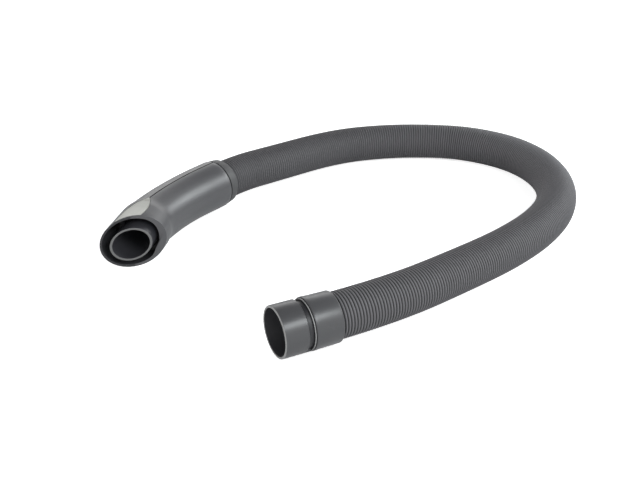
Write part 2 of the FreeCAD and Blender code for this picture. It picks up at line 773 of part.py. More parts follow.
def route_wire(points):
    """Straight runs joined by tangent arcs, each as large as its two runs allow."""
    edges = []
    last = points[0]
    for before, corner, after in zip(points, points[1:], points[2:]):
        back = before - corner
        ahead = after - corner
        turn = math.pi - back.getAngle(ahead)
        tangent = BEND_SHARE * min(back.Length, ahead.Length)
        print("bend at (%.0f, %.0f): radius %.0f mm" % (corner.x, corner.y, tangent / math.tan(turn / 2)))
        back.normalize()
        ahead.normalize()
        first = corner + back * tangent
        final = corner + ahead * tangent
        bisector = back + ahead
        bisector.normalize()
        arc_radius = tangent / math.tan(turn / 2)
        to_centre = math.hypot(tangent, arc_radius)
        middle = corner + bisector * (to_centre - arc_radius)
        edges.append(Part.makeLine(last, first))
        edges.append(Part.Arc(first, middle, final).toShape())
        last = final
    edges.append(Part.makeLine(last, points[-1]))
    return Part.Wire(edges)


def along_wire(wire, lengths):
    """Points and directions at the given lengths of a wire, in one pass along its edges."""
    places = []
    edges = list(wire.OrderedEdges)
    done = 0.0
    index = 0
    for length in lengths:
        while index < len(edges) - 1 and length > done + edges[index].Length:
            done += edges[index].Length
            index += 1
        edge = edges[index]
        reach = min(max(length - done, 0.0), edge.Length)
        parameter = edge.getParameterByLength(reach)
        places.append((edge.valueAt(parameter), edge.tangentAt(parameter)))
    return places


def hose_circle(point, direction, circle_radius):
    """A circle across the hose whose start stays level, so that the ribs don't twist."""
    side = Vector(0, 0, 1).cross(direction)
    side.normalize()
    up = direction.cross(side)
    frame = FreeCAD.Matrix(side.x, up.x, direction.x, point.x,
                           side.y, up.y, direction.y, point.y,
                           side.z, up.z, direction.z, point.z,
                           0, 0, 0, 1)
    ring = Part.Wire([Part.makeCircle(circle_radius)])
    ring.Placement = Placement(frame)
    return ring


def make_hose():
    points = route_points()
    wire = route_wire(points)
    print("hose length %.1f mm" % wire.Length)
    crest = size("hose_od") / 2
    root = crest - size("rib_depth")
    count = int(size("rib_count"))
    pitch = wire.Length / count
    lengths = []
    radii = []
    for rib in range(count):
        for share, at_crest in RIB:
            lengths.append((rib + share) * pitch)
            radii.append(crest if at_crest else root)
    lengths.append(wire.Length)
    radii.append(root)
    places = along_wire(wire, lengths)
    circles = [hose_circle(point, direction, ring_radius)
               for (point, direction), ring_radius in zip(places, radii)]
    ribs = Part.makeLoft(circles, True, True)
    bore_circle = hose_circle(places[0][0], places[0][1], size("hose_bore") / 2)
    bore = wire.makePipeShell([bore_circle], True, False)
    hose = doc.addObject("Part::Feature", "hose")
    hose.Shape = ribs.cut(bore)
    hose.Label = "hose"
    mean_area = math.pi * ((crest + root) ** 2 / 4 - (size("hose_bore") / 2) ** 2)
    expected = mean_area * wire.Length
    print("hose volume %.0f mm3, section times length %.0f mm3" % (hose.Shape.Volume, expected))
    return [hose]


def export(nodes):
    doc.recompute()
    faults = []
    for item in doc.Objects:
        if "Invalid" in item.State or "Error" in item.State:
            faults.append(item.Name)
    for item in nodes:
        shape = item.Shape
        if shape.isNull() or not shape.isValid() or not shape.Solids:
            faults.append(item.Label)
    if faults:
        raise RuntimeError("failed objects: " + ", ".join(faults))
    os.makedirs("parts", exist_ok=True)
    for item in nodes:
        box = item.Shape.BoundBox
        print("%-20s %d solids, %9.0f mm3, x %.1f..%.1f y %.1f..%.1f z %.1f..%.1f" % (
            item.Label, len(item.Shape.Solids), item.Shape.Volume,
            box.XMin, box.XMax, box.YMin, box.YMax, box.ZMin, box.ZMax))
        item.Shape.exportStep("parts/%s.step" % item.Label)


fill_sheet()
nodes = make_shells() + make_duct() + make_screws() + make_swivel() + make_cuff() + make_hose()
export(nodes)
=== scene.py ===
"""Looks of the vacuum hose set: ribbed hose, swivelling hand grip and machine cuff, on a white floor."""
import math

import bmesh
import bpy
from bpy.props import FloatProperty, FloatVectorProperty, IntProperty, PointerProperty
from mathutils import Matrix, Vector


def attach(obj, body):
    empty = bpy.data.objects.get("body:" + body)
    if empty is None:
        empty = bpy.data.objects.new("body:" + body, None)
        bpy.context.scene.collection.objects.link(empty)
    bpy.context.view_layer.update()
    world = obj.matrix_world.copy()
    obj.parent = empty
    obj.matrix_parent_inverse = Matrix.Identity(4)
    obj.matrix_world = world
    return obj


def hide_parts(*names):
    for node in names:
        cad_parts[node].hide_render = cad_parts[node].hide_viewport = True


bl_info = {
    "name": "Vacuum Hose",
    "version": (1, 0, 0),
    "blender": (4, 5, 0),
    "location": "3D View > Sidebar > Vacuum Hose",
    "description": "Ribbed suction hose with a hand grip and a machine cuff",
    "category": "Add Mesh",
}

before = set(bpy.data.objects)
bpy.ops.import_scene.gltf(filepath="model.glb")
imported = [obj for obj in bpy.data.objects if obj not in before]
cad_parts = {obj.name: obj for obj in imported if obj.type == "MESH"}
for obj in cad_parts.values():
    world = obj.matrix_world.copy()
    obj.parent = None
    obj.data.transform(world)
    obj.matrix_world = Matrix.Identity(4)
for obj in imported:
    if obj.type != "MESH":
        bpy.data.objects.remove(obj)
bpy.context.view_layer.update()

# Frames of the two ends, in metres: the grip's mouth faces -Y, the cuff is turned to its heading.
MOUTH = Vector((-0.09313, -0.01719, 0.0254))
CUFF = Vector((0.06471, -0.12764, 0.0218))
CUFF_HEADING = math.radians(38.25)
# The hose's route, from its seat in the cuff to its seat in the grip.
ROUTE = [
    (0.094552, -0.104114, 0.0218), (0.145127, -0.064245, 0.0218), (0.2066, 0.0103, 0.0197),
    (0.2394, 0.0518, 0.0197), (0.2666, 0.0967, 0.0197), (0.2837, 0.1446, 0.0197),
    (0.2859, 0.1962, 0.0197), (0.2702, 0.2455, 0.0197), (0.2375, 0.2825, 0.0197),
    (0.1911, 0.3015, 0.0197), (0.1490, 0.3020, 0.0197), (0.0941, 0.2899, 0.0197),
    (0.0401, 0.2620, 0.0197), (-0.0158, 0.1895, 0.0235), (-0.043192, 0.154101, 0.0254),
    (-0.063217, 0.114025, 0.0254),
]
# A rib's outline along one pitch: share of the pitch, share of the rib's depth below its crest.
RIB_OUTLINE = [(0.0, 1.0), (0.28, 0.25), (0.5, 0.0), (0.72, 0.25)]
# Between these two ribs, counted from the cuff, the painted shade in the grooves grows fainter.
RIBS_NEAR, RIBS_FAR = 140.0, 205.0

# The grip's centreline: lengths of its runs, and the radius and angle of its two bends.
MOUTH_RUN = 0.032
NECK_BEND = (0.100, math.radians(10.0))
GRIP_BEND = (0.270, math.radians(16.55))
GRIP_LENGTH = 0.148
MOUTH_SLANT = math.radians(33.5)
# Swellings of the lip's inside: middle and reach in degrees from the concave side upwards, height.
LIP_SWELLINGS = [(0.0, 62.0, 0.0026), (-31.0, 22.0, 0.0016)]
# Points nearer than this after a cut are one point.
WELD = 0.0000015
# The lip in front of the inlays ends before this place behind the duct's rim.
LIP_END = 0.020
# Width of the shells' own lip in front of an inlay.
INLAY_LIP = 0.0010
# Half the width of the joint between the half shells, at the surface.
SEAM_OPENING = 0.0007


# ---------------------------------------------------------------- sizes and colours

class HoseSizes(bpy.types.PropertyGroup):
    outside: FloatProperty(name="Outside", description="Diameter over the ribs", default=0.0391, unit="LENGTH")
    bore: FloatProperty(name="Bore", description="Diameter inside", default=0.032, unit="LENGTH")
    rib_depth: FloatProperty(name="Rib depth", description="From crest to groove", default=0.0011, unit="LENGTH")
    rib_count: IntProperty(name="Ribs", description="Ribs from end to end", default=313)
    around: IntProperty(name="Points around", description="Points round each ring of the hose", default=48)
    length: FloatProperty(name="Length", description="Real length of the hose", default=0.855, unit="LENGTH")


class GripSizes(bpy.types.PropertyGroup):
    mouth: FloatProperty(name="Mouth", description="Outside diameter at the mouth", default=0.0508, unit="LENGTH")
    waist: FloatProperty(name="Waist", description="Outside diameter behind the mouth", default=0.0478,
                         unit="LENGTH")
    middle: FloatProperty(name="Middle", description="Outside diameter of the grip", default=0.0474, unit="LENGTH")
    rear: FloatProperty(name="Rear", description="Outside diameter at the swivel", default=0.0484, unit="LENGTH")
    wall: FloatProperty(name="Wall", description="Thickness of the half shells", default=0.002, unit="LENGTH")
    setback: FloatProperty(name="Rim setback", description="How far the rim lies behind the duct's",
                           default=0.0057, unit="LENGTH")
    pocket: FloatProperty(name="Pocket", description="Diameter inside the mouth", default=0.0456, unit="LENGTH")
    pocket_shift: FloatProperty(name="Pocket shift", description="How far the pocket is off centre, outwards",
                                default=0.0009, unit="LENGTH")
    recess: FloatProperty(name="Recess", description="Depth of the recess for an inlay", default=0.0019,
                          unit="LENGTH")
    inlay: FloatProperty(name="Inlay", description="Thickness of an inlay", default=0.0016, unit="LENGTH")
    inlay_gap: FloatProperty(name="Inlay gap", description="Gap round an inlay", default=0.0005, unit="LENGTH")
    duct: FloatProperty(name="Duct", description="Outside diameter of the duct", default=0.032, unit="LENGTH")
    duct_wall: FloatProperty(name="Duct wall", description="Thickness of the duct", default=0.0018, unit="LENGTH")


class CuffSizes(bpy.types.PropertyGroup):
    spigot: FloatProperty(name="Spigot", description="Outside diameter of the spigot", default=0.0429,
                          unit="LENGTH")
    spigot_wall: FloatProperty(name="Spigot wall", description="Thickness at the mouth", default=0.002,
                               unit="LENGTH")
    slot_depth: FloatProperty(name="Slot depth", description="Depth of the latch slot", default=0.0024,
                              unit="LENGTH")
    collar: FloatProperty(name="Collar", description="Outside diameter of the collar", default=0.0436,
                          unit="LENGTH")
    length: FloatProperty(name="Length", description="From the mouth to the end of the collar", default=0.0505,
                          unit="LENGTH")


class SetColours(bpy.types.PropertyGroup):
    hose: FloatVectorProperty(name="Hose", description="Matte ribbed plastic", subtype="COLOR", size=3,
                              default=(0.071, 0.0695, 0.074))
    grip: FloatVectorProperty(name="Grip", description="Satin half shells", subtype="COLOR", size=3,
                              default=(0.067, 0.067, 0.071))
    inlay: FloatVectorProperty(name="Inlay", description="Leaf-shaped inlays", subtype="COLOR", size=3,
                               default=(0.39, 0.39, 0.36))
    duct: FloatVectorProperty(name="Duct", description="Duct in the grip", subtype="COLOR", size=3,
                              default=(0.027, 0.027, 0.031))
    # Painted highlight: the duct's front edge is lightened where light catches it.
    duct_rim: FloatVectorProperty(name="Duct rim", description="Light front edge of the duct", subtype="COLOR",
                                  size=3, default=(0.11, 0.11, 0.11))
    # Painted highlight: the cuff's front edge is lightened all round where light catches it.
    painted_rim_highlight: FloatVectorProperty(name="Painted rim highlight", description="Front edge of the cuff", subtype="COLOR", size=3,
                                  default=(0.20, 0.20, 0.20))
    swivel: FloatVectorProperty(name="Swivel collar", description="Flat grey collar behind the grip",
                                subtype="COLOR", size=3, default=(0.052, 0.052, 0.054))
    cuff: FloatVectorProperty(name="Cuff", description="Satin cuff", subtype="COLOR", size=3,
                              default=(0.056, 0.056, 0.059))
    ring: FloatVectorProperty(name="Ring", description="Light ring in the cuff", subtype="COLOR", size=3,
                              default=(0.27, 0.27, 0.27))
    # Also used for painted shade inside the grip's mouth, in the cuff's bore and slot, at the ring's foot and on the
    # collar's front step.
    inner: FloatVectorProperty(name="Inner fittings", description="Black fittings inside", subtype="COLOR",
                               size=3, default=(0.024, 0.024, 0.027))
    # Also used for painted shade on the walls of the joint between the half shells.
    seal: FloatVectorProperty(name="Seals", description="Rubber seals", subtype="COLOR", size=3,
                              default=(0.02, 0.02, 0.02))
    screw: FloatVectorProperty(name="Screws", description="Plated steel", subtype="COLOR", size=3,
                               default=(0.60, 0.60, 0.60))


# ---------------------------------------------------------------- selecting and shaping

def start_clean():
    """Back to object mode with nothing selected."""
    if bpy.context.object and bpy.context.object.mode != "OBJECT":
        bpy.ops.object.mode_set(mode="OBJECT")
    bpy.ops.object.select_all(action="DESELECT")


def pick(piece, test):
    """In edit mode, selects the vertices whose place passes the test, and what lies between them."""
    mesh = bmesh.from_edit_mesh(piece.data)
    for vertex in mesh.verts:
        vertex.select_set(False)
    mesh.select_flush(False)
    for vertex in mesh.verts:
        if test(vertex.co):
            vertex.select_set(True)
    mesh.select_flush(True)
    bmesh.update_edit_mesh(piece.data)


def picked_places(piece):
    mesh = bmesh.from_edit_mesh(piece.data)
    return [vertex.co.copy() for vertex in mesh.verts if vertex.select]


def pick_again(piece, places):
    """Selects the vertices that lie at any of the places."""
    keys = {tuple(round(value * 1e6) for value in place) for place in places}
    pick(piece, lambda place: tuple(round(value * 1e6) for value in place) in keys)


def edit(piece):
    start_clean()
    piece.select_set(True)
    bpy.context.view_layer.objects.active = piece
    bpy.ops.object.mode_set(mode="EDIT")
    bpy.ops.mesh.select_mode(type="VERT")


def leave_edit():
    bpy.ops.object.mode_set(mode="OBJECT")


def fix_normals(piece):
    edit(piece)
    bpy.ops.mesh.select_all(action="SELECT")
    bpy.ops.mesh.remove_doubles(threshold=1e-7)
    bpy.ops.mesh.normals_make_consistent(inside=False)
    leave_edit()


def smooth(piece, angle=35.0):
    start_clean()
    piece.select_set(True)
    bpy.context.view_layer.objects.active = piece
    bpy.ops.object.shade_smooth_by_angle(angle=math.radians(angle))


def settle(piece, place=None):
    """Puts the place into the mesh, so that the object itself sits at the origin."""
    start_clean()
    if place is not None:
        piece.matrix_world = place
    piece.select_set(True)
    bpy.context.view_layer.objects.active = piece
    bpy.ops.object.transform_apply(location=True, rotation=True, scale=True)


def carve(piece, tool, operation="DIFFERENCE"):
    """Applies a boolean with a tool, which is then deleted."""
    start_clean()
    bpy.context.view_layer.objects.active = piece
    piece.select_set(True)
    modifier = piece.modifiers.new("carve", "BOOLEAN")
    modifier.operation = operation
    modifier.solver = "EXACT"
    modifier.object = tool
    bpy.ops.object.modifier_apply(modifier=modifier.name)
    bpy.data.objects.remove(tool, do_unlink=True)
    edit(piece)
    bpy.ops.mesh.select_all(action="SELECT")
    bpy.ops.mesh.remove_doubles(threshold=WELD)
    leave_edit()


def turn_outline(name, outline, points=144):
    """A closed ring round Z: a circle extruded from corner to corner of (radius, along)."""
    start_clean()
    radius, along = outline[0]
    bpy.ops.mesh.primitive_circle_add(vertices=points, radius=radius, fill_type="NOTHING", location=(0, 0, along))
    piece = bpy.context.object
    piece.name = name
    settle(piece)
    edit(piece)
    bpy.ops.mesh.select_all(action="SELECT")
    for next_radius, next_along in outline[1:] + outline[:1]:
        bpy.ops.mesh.extrude_region_move(TRANSFORM_OT_translate={"value": (0, 0, next_along - along)})
        share = next_radius / radius
        bpy.ops.transform.resize(value=(share, share, 1), center_override=(0, 0, next_along))
        radius, along = next_radius, next_along
    leave_edit()
    fix_normals(piece)
    return piece


def bevel_rings(piece, rings, segments=4):
    """Rounds the circular edges at (radius, along) by a width each."""
    edit(piece)
    for radius, along, width in rings:
        pick(piece, lambda place: abs(place.z - along) < 2e-6 and abs(math.hypot(place.x, place.y) - radius) < 2e-6)
        bpy.ops.mesh.bevel(offset=width, segments=segments, affect="EDGES", profile=0.5)
    leave_edit()


def cuff_frame():
    """Turns +Z of a turned piece to the cuff's axis, with its +X level to the right."""
    along = Vector((math.cos(CUFF_HEADING), math.sin(CUFF_HEADING), 0))
    across = Vector((along.y, -along.x, 0))
    up = Vector((0, 0, 1))
    turn = Matrix((across, up, along)).transposed()
    # Columns are the images of X, Y and Z, and the frame has to stay right-handed.
    if turn.determinant() < 0:
        turn = Matrix((across, -up, along)).transposed()
    return Matrix.Translation(CUFF) @ turn.to_4x4()


def grip_station(length):
    """Point on the grip's centreline at a length from its duct's rim, and the way forward there."""
    point = Vector((0, 0, 0))
    heading = math.pi / 2
    left = length
    for radius, angle in ((MOUTH_RUN, None), NECK_BEND, GRIP_BEND, (math.inf, None)):
        forward = Vector((math.cos(heading), math.sin(heading), 0))
        right = Vector((forward.y, -forward.x, 0))
        if angle is None:
            step = min(left, radius)
            point += forward * step
        else:
            step = min(left, radius * angle)
            turned = step / radius
            point += forward * (radius * math.sin(turned)) + right * (radius * (1 - math.cos(turned)))
            heading -= turned
        left -= step
        if left <= 0:
            break
    return MOUTH + point, heading


def rear_frame():
    """Turns +Z of a turned piece to the hose's way out of the grip."""
    start, heading = grip_station(GRIP_LENGTH - 0.0206)
    along = Vector((math.cos(heading), math.sin(heading), 0))
    across = Vector((along.y, -along.x, 0))
    turn = Matrix((across, Vector((0, 0, -1)), along)).transposed()
    return Matrix.Translation(start) @ turn.to_4x4()


def finish_piece(piece, body, node, slot, angle=35.0):
    """Shades a piece, gives it its material, hides the CAD node it stands for and hangs it on its body."""
    smooth(piece, angle)
    piece.data.materials.clear()
    piece.data.materials.append(finishes()[slot])
    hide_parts(node)
    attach(piece, body)


def line_faces(piece, finish, test):
    """Gives the faces whose middle and normal pass the test another finish."""
    piece.data.materials.append(finishes()[finish])
    number = len(piece.data.materials) - 1
    for face in piece.data.polygons:
        if test(face.center, face.normal):
            face.material_index = number


# ---------------------------------------------------------------- materials

def new_group(name, inputs, outputs):
    group = bpy.data.node_groups.new(name, "ShaderNodeTree")
    for label, default in inputs:
        socket = group.interface.new_socket(label, in_out="INPUT", socket_type="NodeSocketFloat")
        socket.default_value = default
    for label in outputs:
        group.interface.new_socket(label, in_out="OUTPUT", socket_type="NodeSocketFloat")
    return group, group.nodes.new("NodeGroupInput"), group.nodes.new("NodeGroupOutput")


def math_node(tree, operation, *values):
    node = tree.nodes.new("ShaderNodeMath")
    node.operation = operation
    for index, value in enumerate(values):
        if isinstance(value, bpy.types.NodeSocket):
            tree.links.new(value, node.inputs[index])
        else:
            node.inputs[index].default_value = value
    return node.outputs[0]


def noise_node(tree, scale, detail, place):
    node = tree.nodes.new("ShaderNodeTexNoise")
    node.inputs["Detail"].default_value = detail
    if isinstance(scale, bpy.types.NodeSocket):
        tree.links.new(scale, node.inputs["Scale"])
    else:
        node.inputs["Scale"].default_value = scale
    tree.links.new(place, node.inputs["Vector"])
    return node.outputs["Fac"]


def moulded_grain():
    """Spark-eroded grain of moulded plastic, with a slow change of tone and gloss over it."""
    group = bpy.data.node_groups.get("moulded_grain")
    if group:
        return group
    group, given, out = new_group("moulded_grain", [("Grain scale", 2500.0), ("Tone change", 0.06),
                                                    ("Roughness", 0.5), ("Roughness change", 0.08)],
                                  ["Tone", "Roughness", "Height"])
    place = group.nodes.new("ShaderNodeTexCoord").outputs["Object"]
    grain = noise_node(group, given.outputs["Grain scale"], 3.0, place)
    clouds = noise_node(group, 45.0, 3.0, place)
    off = math_node(group, "SUBTRACT", clouds, 0.5)
    tone = math_node(group, "MULTIPLY_ADD", off, given.outputs["Tone change"], 1.0)
    rough = math_node(group, "MULTIPLY_ADD", off, given.outputs["Roughness change"], given.outputs["Roughness"])
    group.links.new(tone, out.inputs["Tone"])
    group.links.new(rough, out.inputs["Roughness"])
    group.links.new(grain, out.inputs["Height"])
    return group


def handling_marks():
    """Thin rubbed streaks and specks, as a mask from 0 to 1."""
    group = bpy.data.node_groups.get("handling_marks")
    if group:
        return group
    group, given, out = new_group("handling_marks", [("Scale", 160.0), ("Amount", 0.3)], ["Mask"])
    place = group.nodes.new("ShaderNodeTexCoord").outputs["Object"]
    stretch = group.nodes.new("ShaderNodeMapping")
    stretch.inputs["Scale"].default_value = (1.0, 0.22, 1.0)
    group.links.new(place, stretch.inputs["Vector"])
    streaks = noise_node(group, given.outputs["Scale"], 4.0, stretch.outputs["Vector"])
    patches = noise_node(group, 28.0, 2.0, place)
    thin = math_node(group, "SUBTRACT", streaks, 0.62)
    thin = math_node(group, "MULTIPLY", thin, 9.0)
    wide = math_node(group, "SUBTRACT", patches, 0.48)
    wide = math_node(group, "MULTIPLY", wide, 5.0)
    both = group.nodes.new("ShaderNodeMath")
    both.operation = "MULTIPLY"
    both.use_clamp = True
    clamp_thin = group.nodes.new("ShaderNodeClamp")
    group.links.new(thin, clamp_thin.inputs["Value"])
    clamp_wide = group.nodes.new("ShaderNodeClamp")
    group.links.new(wide, clamp_wide.inputs["Value"])
    group.links.new(clamp_thin.outputs[0], both.inputs[0])
    group.links.new(clamp_wide.outputs[0], both.inputs[1])
    mask = math_node(group, "MULTIPLY", both.outputs[0], given.outputs["Amount"])
    group.links.new(mask, out.inputs["Mask"])
    return group


def painted_rib_shade_and_highlight():
    """Painted light of a ribbed hose, from its UV map: a painted highlight on the crests and painted shade in the
    grooves, about a mean of 1.

    V counts the ribs, and the contrast of the painted shade falls from its near to its far value between two of them.
    """
    group = bpy.data.node_groups.get("painted_rib_shade_and_highlight")
    if group:
        return group
    group, given, out = new_group("painted_rib_shade_and_highlight", [("Groove width", 0.38), ("Near contrast", 1.55), ("Far contrast", 0.4)], ["Tone"])
    uv = group.nodes.new("ShaderNodeUVMap")
    uv.uv_map = "UVMap"
    split = group.nodes.new("ShaderNodeSeparateXYZ")
    group.links.new(uv.outputs["UV"], split.inputs[0])
    share = math_node(group, "FRACT", split.outputs["Y"])
    near = math_node(group, "PINGPONG", share, 0.5)
    falling = math_node(group, "DIVIDE", near, given.outputs["Groove width"])
    groove = group.nodes.new("ShaderNodeClamp")
    group.links.new(math_node(group, "SUBTRACT", 1.0, falling), groove.inputs["Value"])
    contrast = group.nodes.new("ShaderNodeMapRange")
    contrast.inputs["From Min"].default_value = RIBS_NEAR
    contrast.inputs["From Max"].default_value = RIBS_FAR
    group.links.new(split.outputs["Y"], contrast.inputs["Value"])
    group.links.new(given.outputs["Near contrast"], contrast.inputs["To Min"])
    group.links.new(given.outputs["Far contrast"], contrast.inputs["To Max"])
    above = math_node(group, "SUBTRACT", given.outputs["Groove width"], groove.outputs[0])
    tone = math_node(group, "MULTIPLY_ADD", above, contrast.outputs["Result"], 1.0)
    group.links.new(tone, out.inputs["Tone"])
    return group


def place_group(tree, group, **values):
    node = tree.nodes.new("ShaderNodeGroup")
    node.node_tree = group
    for name, value in values.items():
        node.inputs[name.replace("_", " ").capitalize()].default_value = value
    return node


def plastic(name, colour, roughness, grain_scale=2500.0, grain_depth=0.00002, tone=0.06, marks=0.25,
            coat=0.0, metallic=0.0, specular=0.5, ribs=False, fade=None):
    """A moulded finish: toned colour, grain, and rubbed marks, from the shared groups.

    A fade is (start, end, loss): the tone falls by the loss from one place along Y to another, as painted shade. Ribs
    lay the hose's painted groove shade and crest highlight on.
    """
    material = bpy.data.materials.get(name + "_finish")
    if material:
        return material
    material = bpy.data.materials.new(name + "_finish")
    material.use_nodes = True
    tree = material.node_tree
    shader = tree.nodes["Principled BSDF"]
    shader.inputs["Metallic"].default_value = metallic
    shader.inputs["Coat Weight"].default_value = coat
    shader.inputs["Coat Roughness"].default_value = 0.25
    shader.inputs["Specular IOR Level"].default_value = specular
    grain = place_group(tree, moulded_grain(), Grain_scale=grain_scale, Tone_change=tone,
                        Roughness=roughness, Roughness_change=0.12)
    rubbed = place_group(tree, handling_marks(), Scale=160.0, Amount=marks)
    level = grain.outputs["Tone"]
    if ribs:
        # Painted shade in the hose's grooves and a painted highlight on its crests.
        bands = place_group(tree, painted_rib_shade_and_highlight(), Groove_width=0.38)
        level = math_node(tree, "MULTIPLY", level, bands.outputs["Tone"])
    # The fade darkens the tone along Y: painted shade.
    if fade:
        start, end, loss = fade
        split = tree.nodes.new("ShaderNodeSeparateXYZ")
        tree.links.new(tree.nodes.new("ShaderNodeTexCoord").outputs["Object"], split.inputs[0])
        along = tree.nodes.new("ShaderNodeMapRange")
        along.inputs["From Min"].default_value = start
        along.inputs["From Max"].default_value = end
        along.inputs["To Min"].default_value = 1.0
        along.inputs["To Max"].default_value = 1.0 - loss
        tree.links.new(split.outputs["Y"], along.inputs["Value"])
        level = math_node(tree, "MULTIPLY", level, along.outputs["Result"])
    toned = tree.nodes.new("ShaderNodeVectorMath")
    toned.operation = "SCALE"
    toned.inputs[0].default_value = colour
    tree.links.new(level, toned.inputs["Scale"])
    lighter = tree.nodes.new("ShaderNodeMix")
    lighter.data_type = "RGBA"
    lighter.inputs["B"].default_value = tuple(min(1.0, value * 1.6 + 0.02) for value in colour) + (1.0,)
    tree.links.new(rubbed.outputs["Mask"], lighter.inputs["Factor"])
    tree.links.new(toned.outputs[0], lighter.inputs["A"])
    tree.links.new(lighter.outputs["Result"], shader.inputs["Base Color"])
    rough = math_node(tree, "MULTIPLY_ADD", rubbed.outputs["Mask"], 0.2, grain.outputs["Roughness"])
    tree.links.new(rough, shader.inputs["Roughness"])
    bump = tree.nodes.new("ShaderNodeBump")
    bump.inputs["Strength"].default_value = 0.5
    bump.inputs["Distance"].default_value = grain_depth
    tree.links.new(grain.outputs["Height"], bump.inputs["Height"])
    tree.links.new(bump.outputs["Normal"], shader.inputs["Normal"])
    return material


def finishes():
    """Every finish of the set, by the name of its material slot."""
    colours = bpy.context.scene.vacuum_colours
    return {
        # The hose's ribs carry painted shade in the grooves and a painted highlight on the crests.
        "hose_plastic": plastic("hose_plastic", colours.hose, 0.62, grain_depth=0.00001, marks=0.12, ribs=True,
                                specular=0.35),
        "grip_plastic": plastic("grip_plastic", colours.grip, 0.36, coat=0.0, marks=0.2),
        # The inlay's tone falls towards its tip: painted shade of its dish.
        "inlay_plastic": plastic("inlay_plastic", colours.inlay, 0.42, marks=0.2,
                                 fade=(MOUTH.y + 0.010, MOUTH.y + 0.048, 0.32)),
        "duct_plastic": plastic("duct_plastic", colours.duct, 0.3, marks=0.1),
        # Painted highlights on the front edges of the duct and of the cuff.
        "duct_rim": plastic("duct_rim", colours.duct_rim, 0.4, marks=0.05),
        "painted_rim_highlight": plastic("painted_rim_highlight", colours.painted_rim_highlight, 0.35, marks=0.3),
        "collar_plastic": plastic("collar_plastic", colours.swivel, 0.55, marks=0.2),
        "cuff_plastic": plastic("cuff_plastic", colours.cuff, 0.34, marks=0.3),
        "ring_plastic": plastic("ring_plastic", colours.ring, 0.4, marks=0.1),
        # Near black for the fittings inside, and painted shade in the mouth, the bore, the slot and the gaps.
        "inner_plastic": plastic("inner_plastic", colours.inner, 0.5, marks=0.1),
        # Rubber for the seals, and painted shade on the walls of the joint between the half shells.
        "seal_rubber": plastic("seal_rubber", colours.seal, 0.7, marks=0.1, specular=0.3),
        "screw_steel": plastic("screw_steel", colours.screw, 0.32, grain_scale=900.0, metallic=1.0, marks=0.4),
    }


# ---------------------------------------------------------------- hose

def route_line():
    """Points along the smooth curve of the route, read from its NURBS spline."""
    curve = bpy.data.curves.new("hose_route", "CURVE")
    curve.dimensions = "3D"
    curve.resolution_u = 48
    spline = curve.splines.new("NURBS")
    spline.points.add(len(ROUTE) - 1)
    for point, place in zip(spline.points, ROUTE):
        point.co = (*place, 1.0)
    spline.order_u = 3
    spline.use_endpoint_u = True
    holder = bpy.data.objects.new("hose_route", curve)
    bpy.context.collection.objects.link(holder)
    bpy.context.view_layer.update()
    line = bpy.data.meshes.new_from_object(holder)
    points = [vertex.co.copy() for vertex in line.vertices]
    bpy.data.objects.remove(holder, do_unlink=True)
    bpy.data.curves.remove(curve)
    bpy.data.meshes.remove(line)
    return points


class PathWalk:
    """Places and directions at lengths along a line of points."""

    def __init__(self, points):
        self.points = points
        self.reached = [0.0]
        for first, second in zip(points, points[1:]):
            self.reached.append(self.reached[-1] + (second - first).length)
        self.length = self.reached[-1]
        self.index = 0

    def at(self, length):
        length = min(max(length, 0.0), self.length)
        while self.index < len(self.points) - 2 and self.reached[self.index + 1] < length:
            self.index += 1
        while self.index > 0 and self.reached[self.index] > length:
            self.index -= 1
        first, second = self.points[self.index], self.points[self.index + 1]
        share = (length - self.reached[self.index]) / (second - first).length
        before = self.points[max(self.index - 1, 0)]
        after = self.points[min(self.index + 2, len(self.points) - 1)]
        start_way = (second - before).normalized()
        end_way = (after - first).normalized()
        return first.lerp(second, share), start_way.lerp(end_way, share).normalized()


def tube_rings(walk, rings, around):
    """Rings of vertices round a path, each at (length along it, radius)."""
    vertices = []
    for length, radius in rings:
        point, way = walk.at(length)
        side = Vector((0, 0, 1)).cross(way).normalized()
        up = way.cross(side)
        for number in range(around):
            angle = 2 * math.pi * number / around
            vertices.append(point + (side * math.cos(angle) + up * math.sin(angle)) * radius)
    return vertices


class VACUUM_OT_hose(bpy.types.Operator):
    """Add the ribbed hose along its route"""
    bl_idname = "vacuum.hose"
    bl_label = "Ribbed Hose"

    def execute(self, context):
        sizes = context.scene.vacuum_hose
        points = route_line()
        walk = PathWalk(points)
        pitch = walk.length / sizes.rib_count
        outer = [((rib + share) * pitch, sizes.outside / 2 - depth * sizes.rib_depth)
                 for rib in range(sizes.rib_count) for share, depth in RIB_OUTLINE]
        outer.append((walk.length, sizes.outside / 2 - sizes.rib_depth))
        steps = round(walk.length / 0.006)
        inner = [(walk.length * (1 - step / steps), sizes.bore / 2) for step in range(steps + 1)]
        around = sizes.around
        rings = outer + inner
        vertices = tube_rings(walk, rings, around)
        faces = []
        bands = []
        count = len(rings)
        for ring in range(count):
            following = (ring + 1) % count
            low = rings[ring][0] / pitch
            high = rings[following][0] / pitch
            for number in range(around):
                beside = (number + 1) % around
                faces.append((ring * around + number, ring * around + beside,
                              following * around + beside, following * around + number))
                bands.append((number / around, (number + 1) / around, low, high))
        mesh = bpy.data.meshes.new("hose_tube")
        mesh.from_pydata(vertices, [], faces)
        layer = mesh.uv_layers.new(name="UVMap")
        for polygon, (left, right, low, high) in zip(mesh.polygons, bands):
            corners = ((left, low), (right, low), (right, high), (left, high))
            for loop, corner in zip(polygon.loop_indices, corners):
                layer.data[loop].uv = corner
        mesh.update()
        piece = bpy.data.objects.new("hose_tube", mesh)
        context.collection.objects.link(piece)
        edit(piece)
        bpy.ops.mesh.select_all(action="SELECT")
        bpy.ops.mesh.normals_make_consistent(inside=False)
        leave_edit()
        finish_piece(piece, "hose_set", "hose", "hose_plastic", angle=60.0)
        return {"FINISHED"}


# ---------------------------------------------------------------- grip

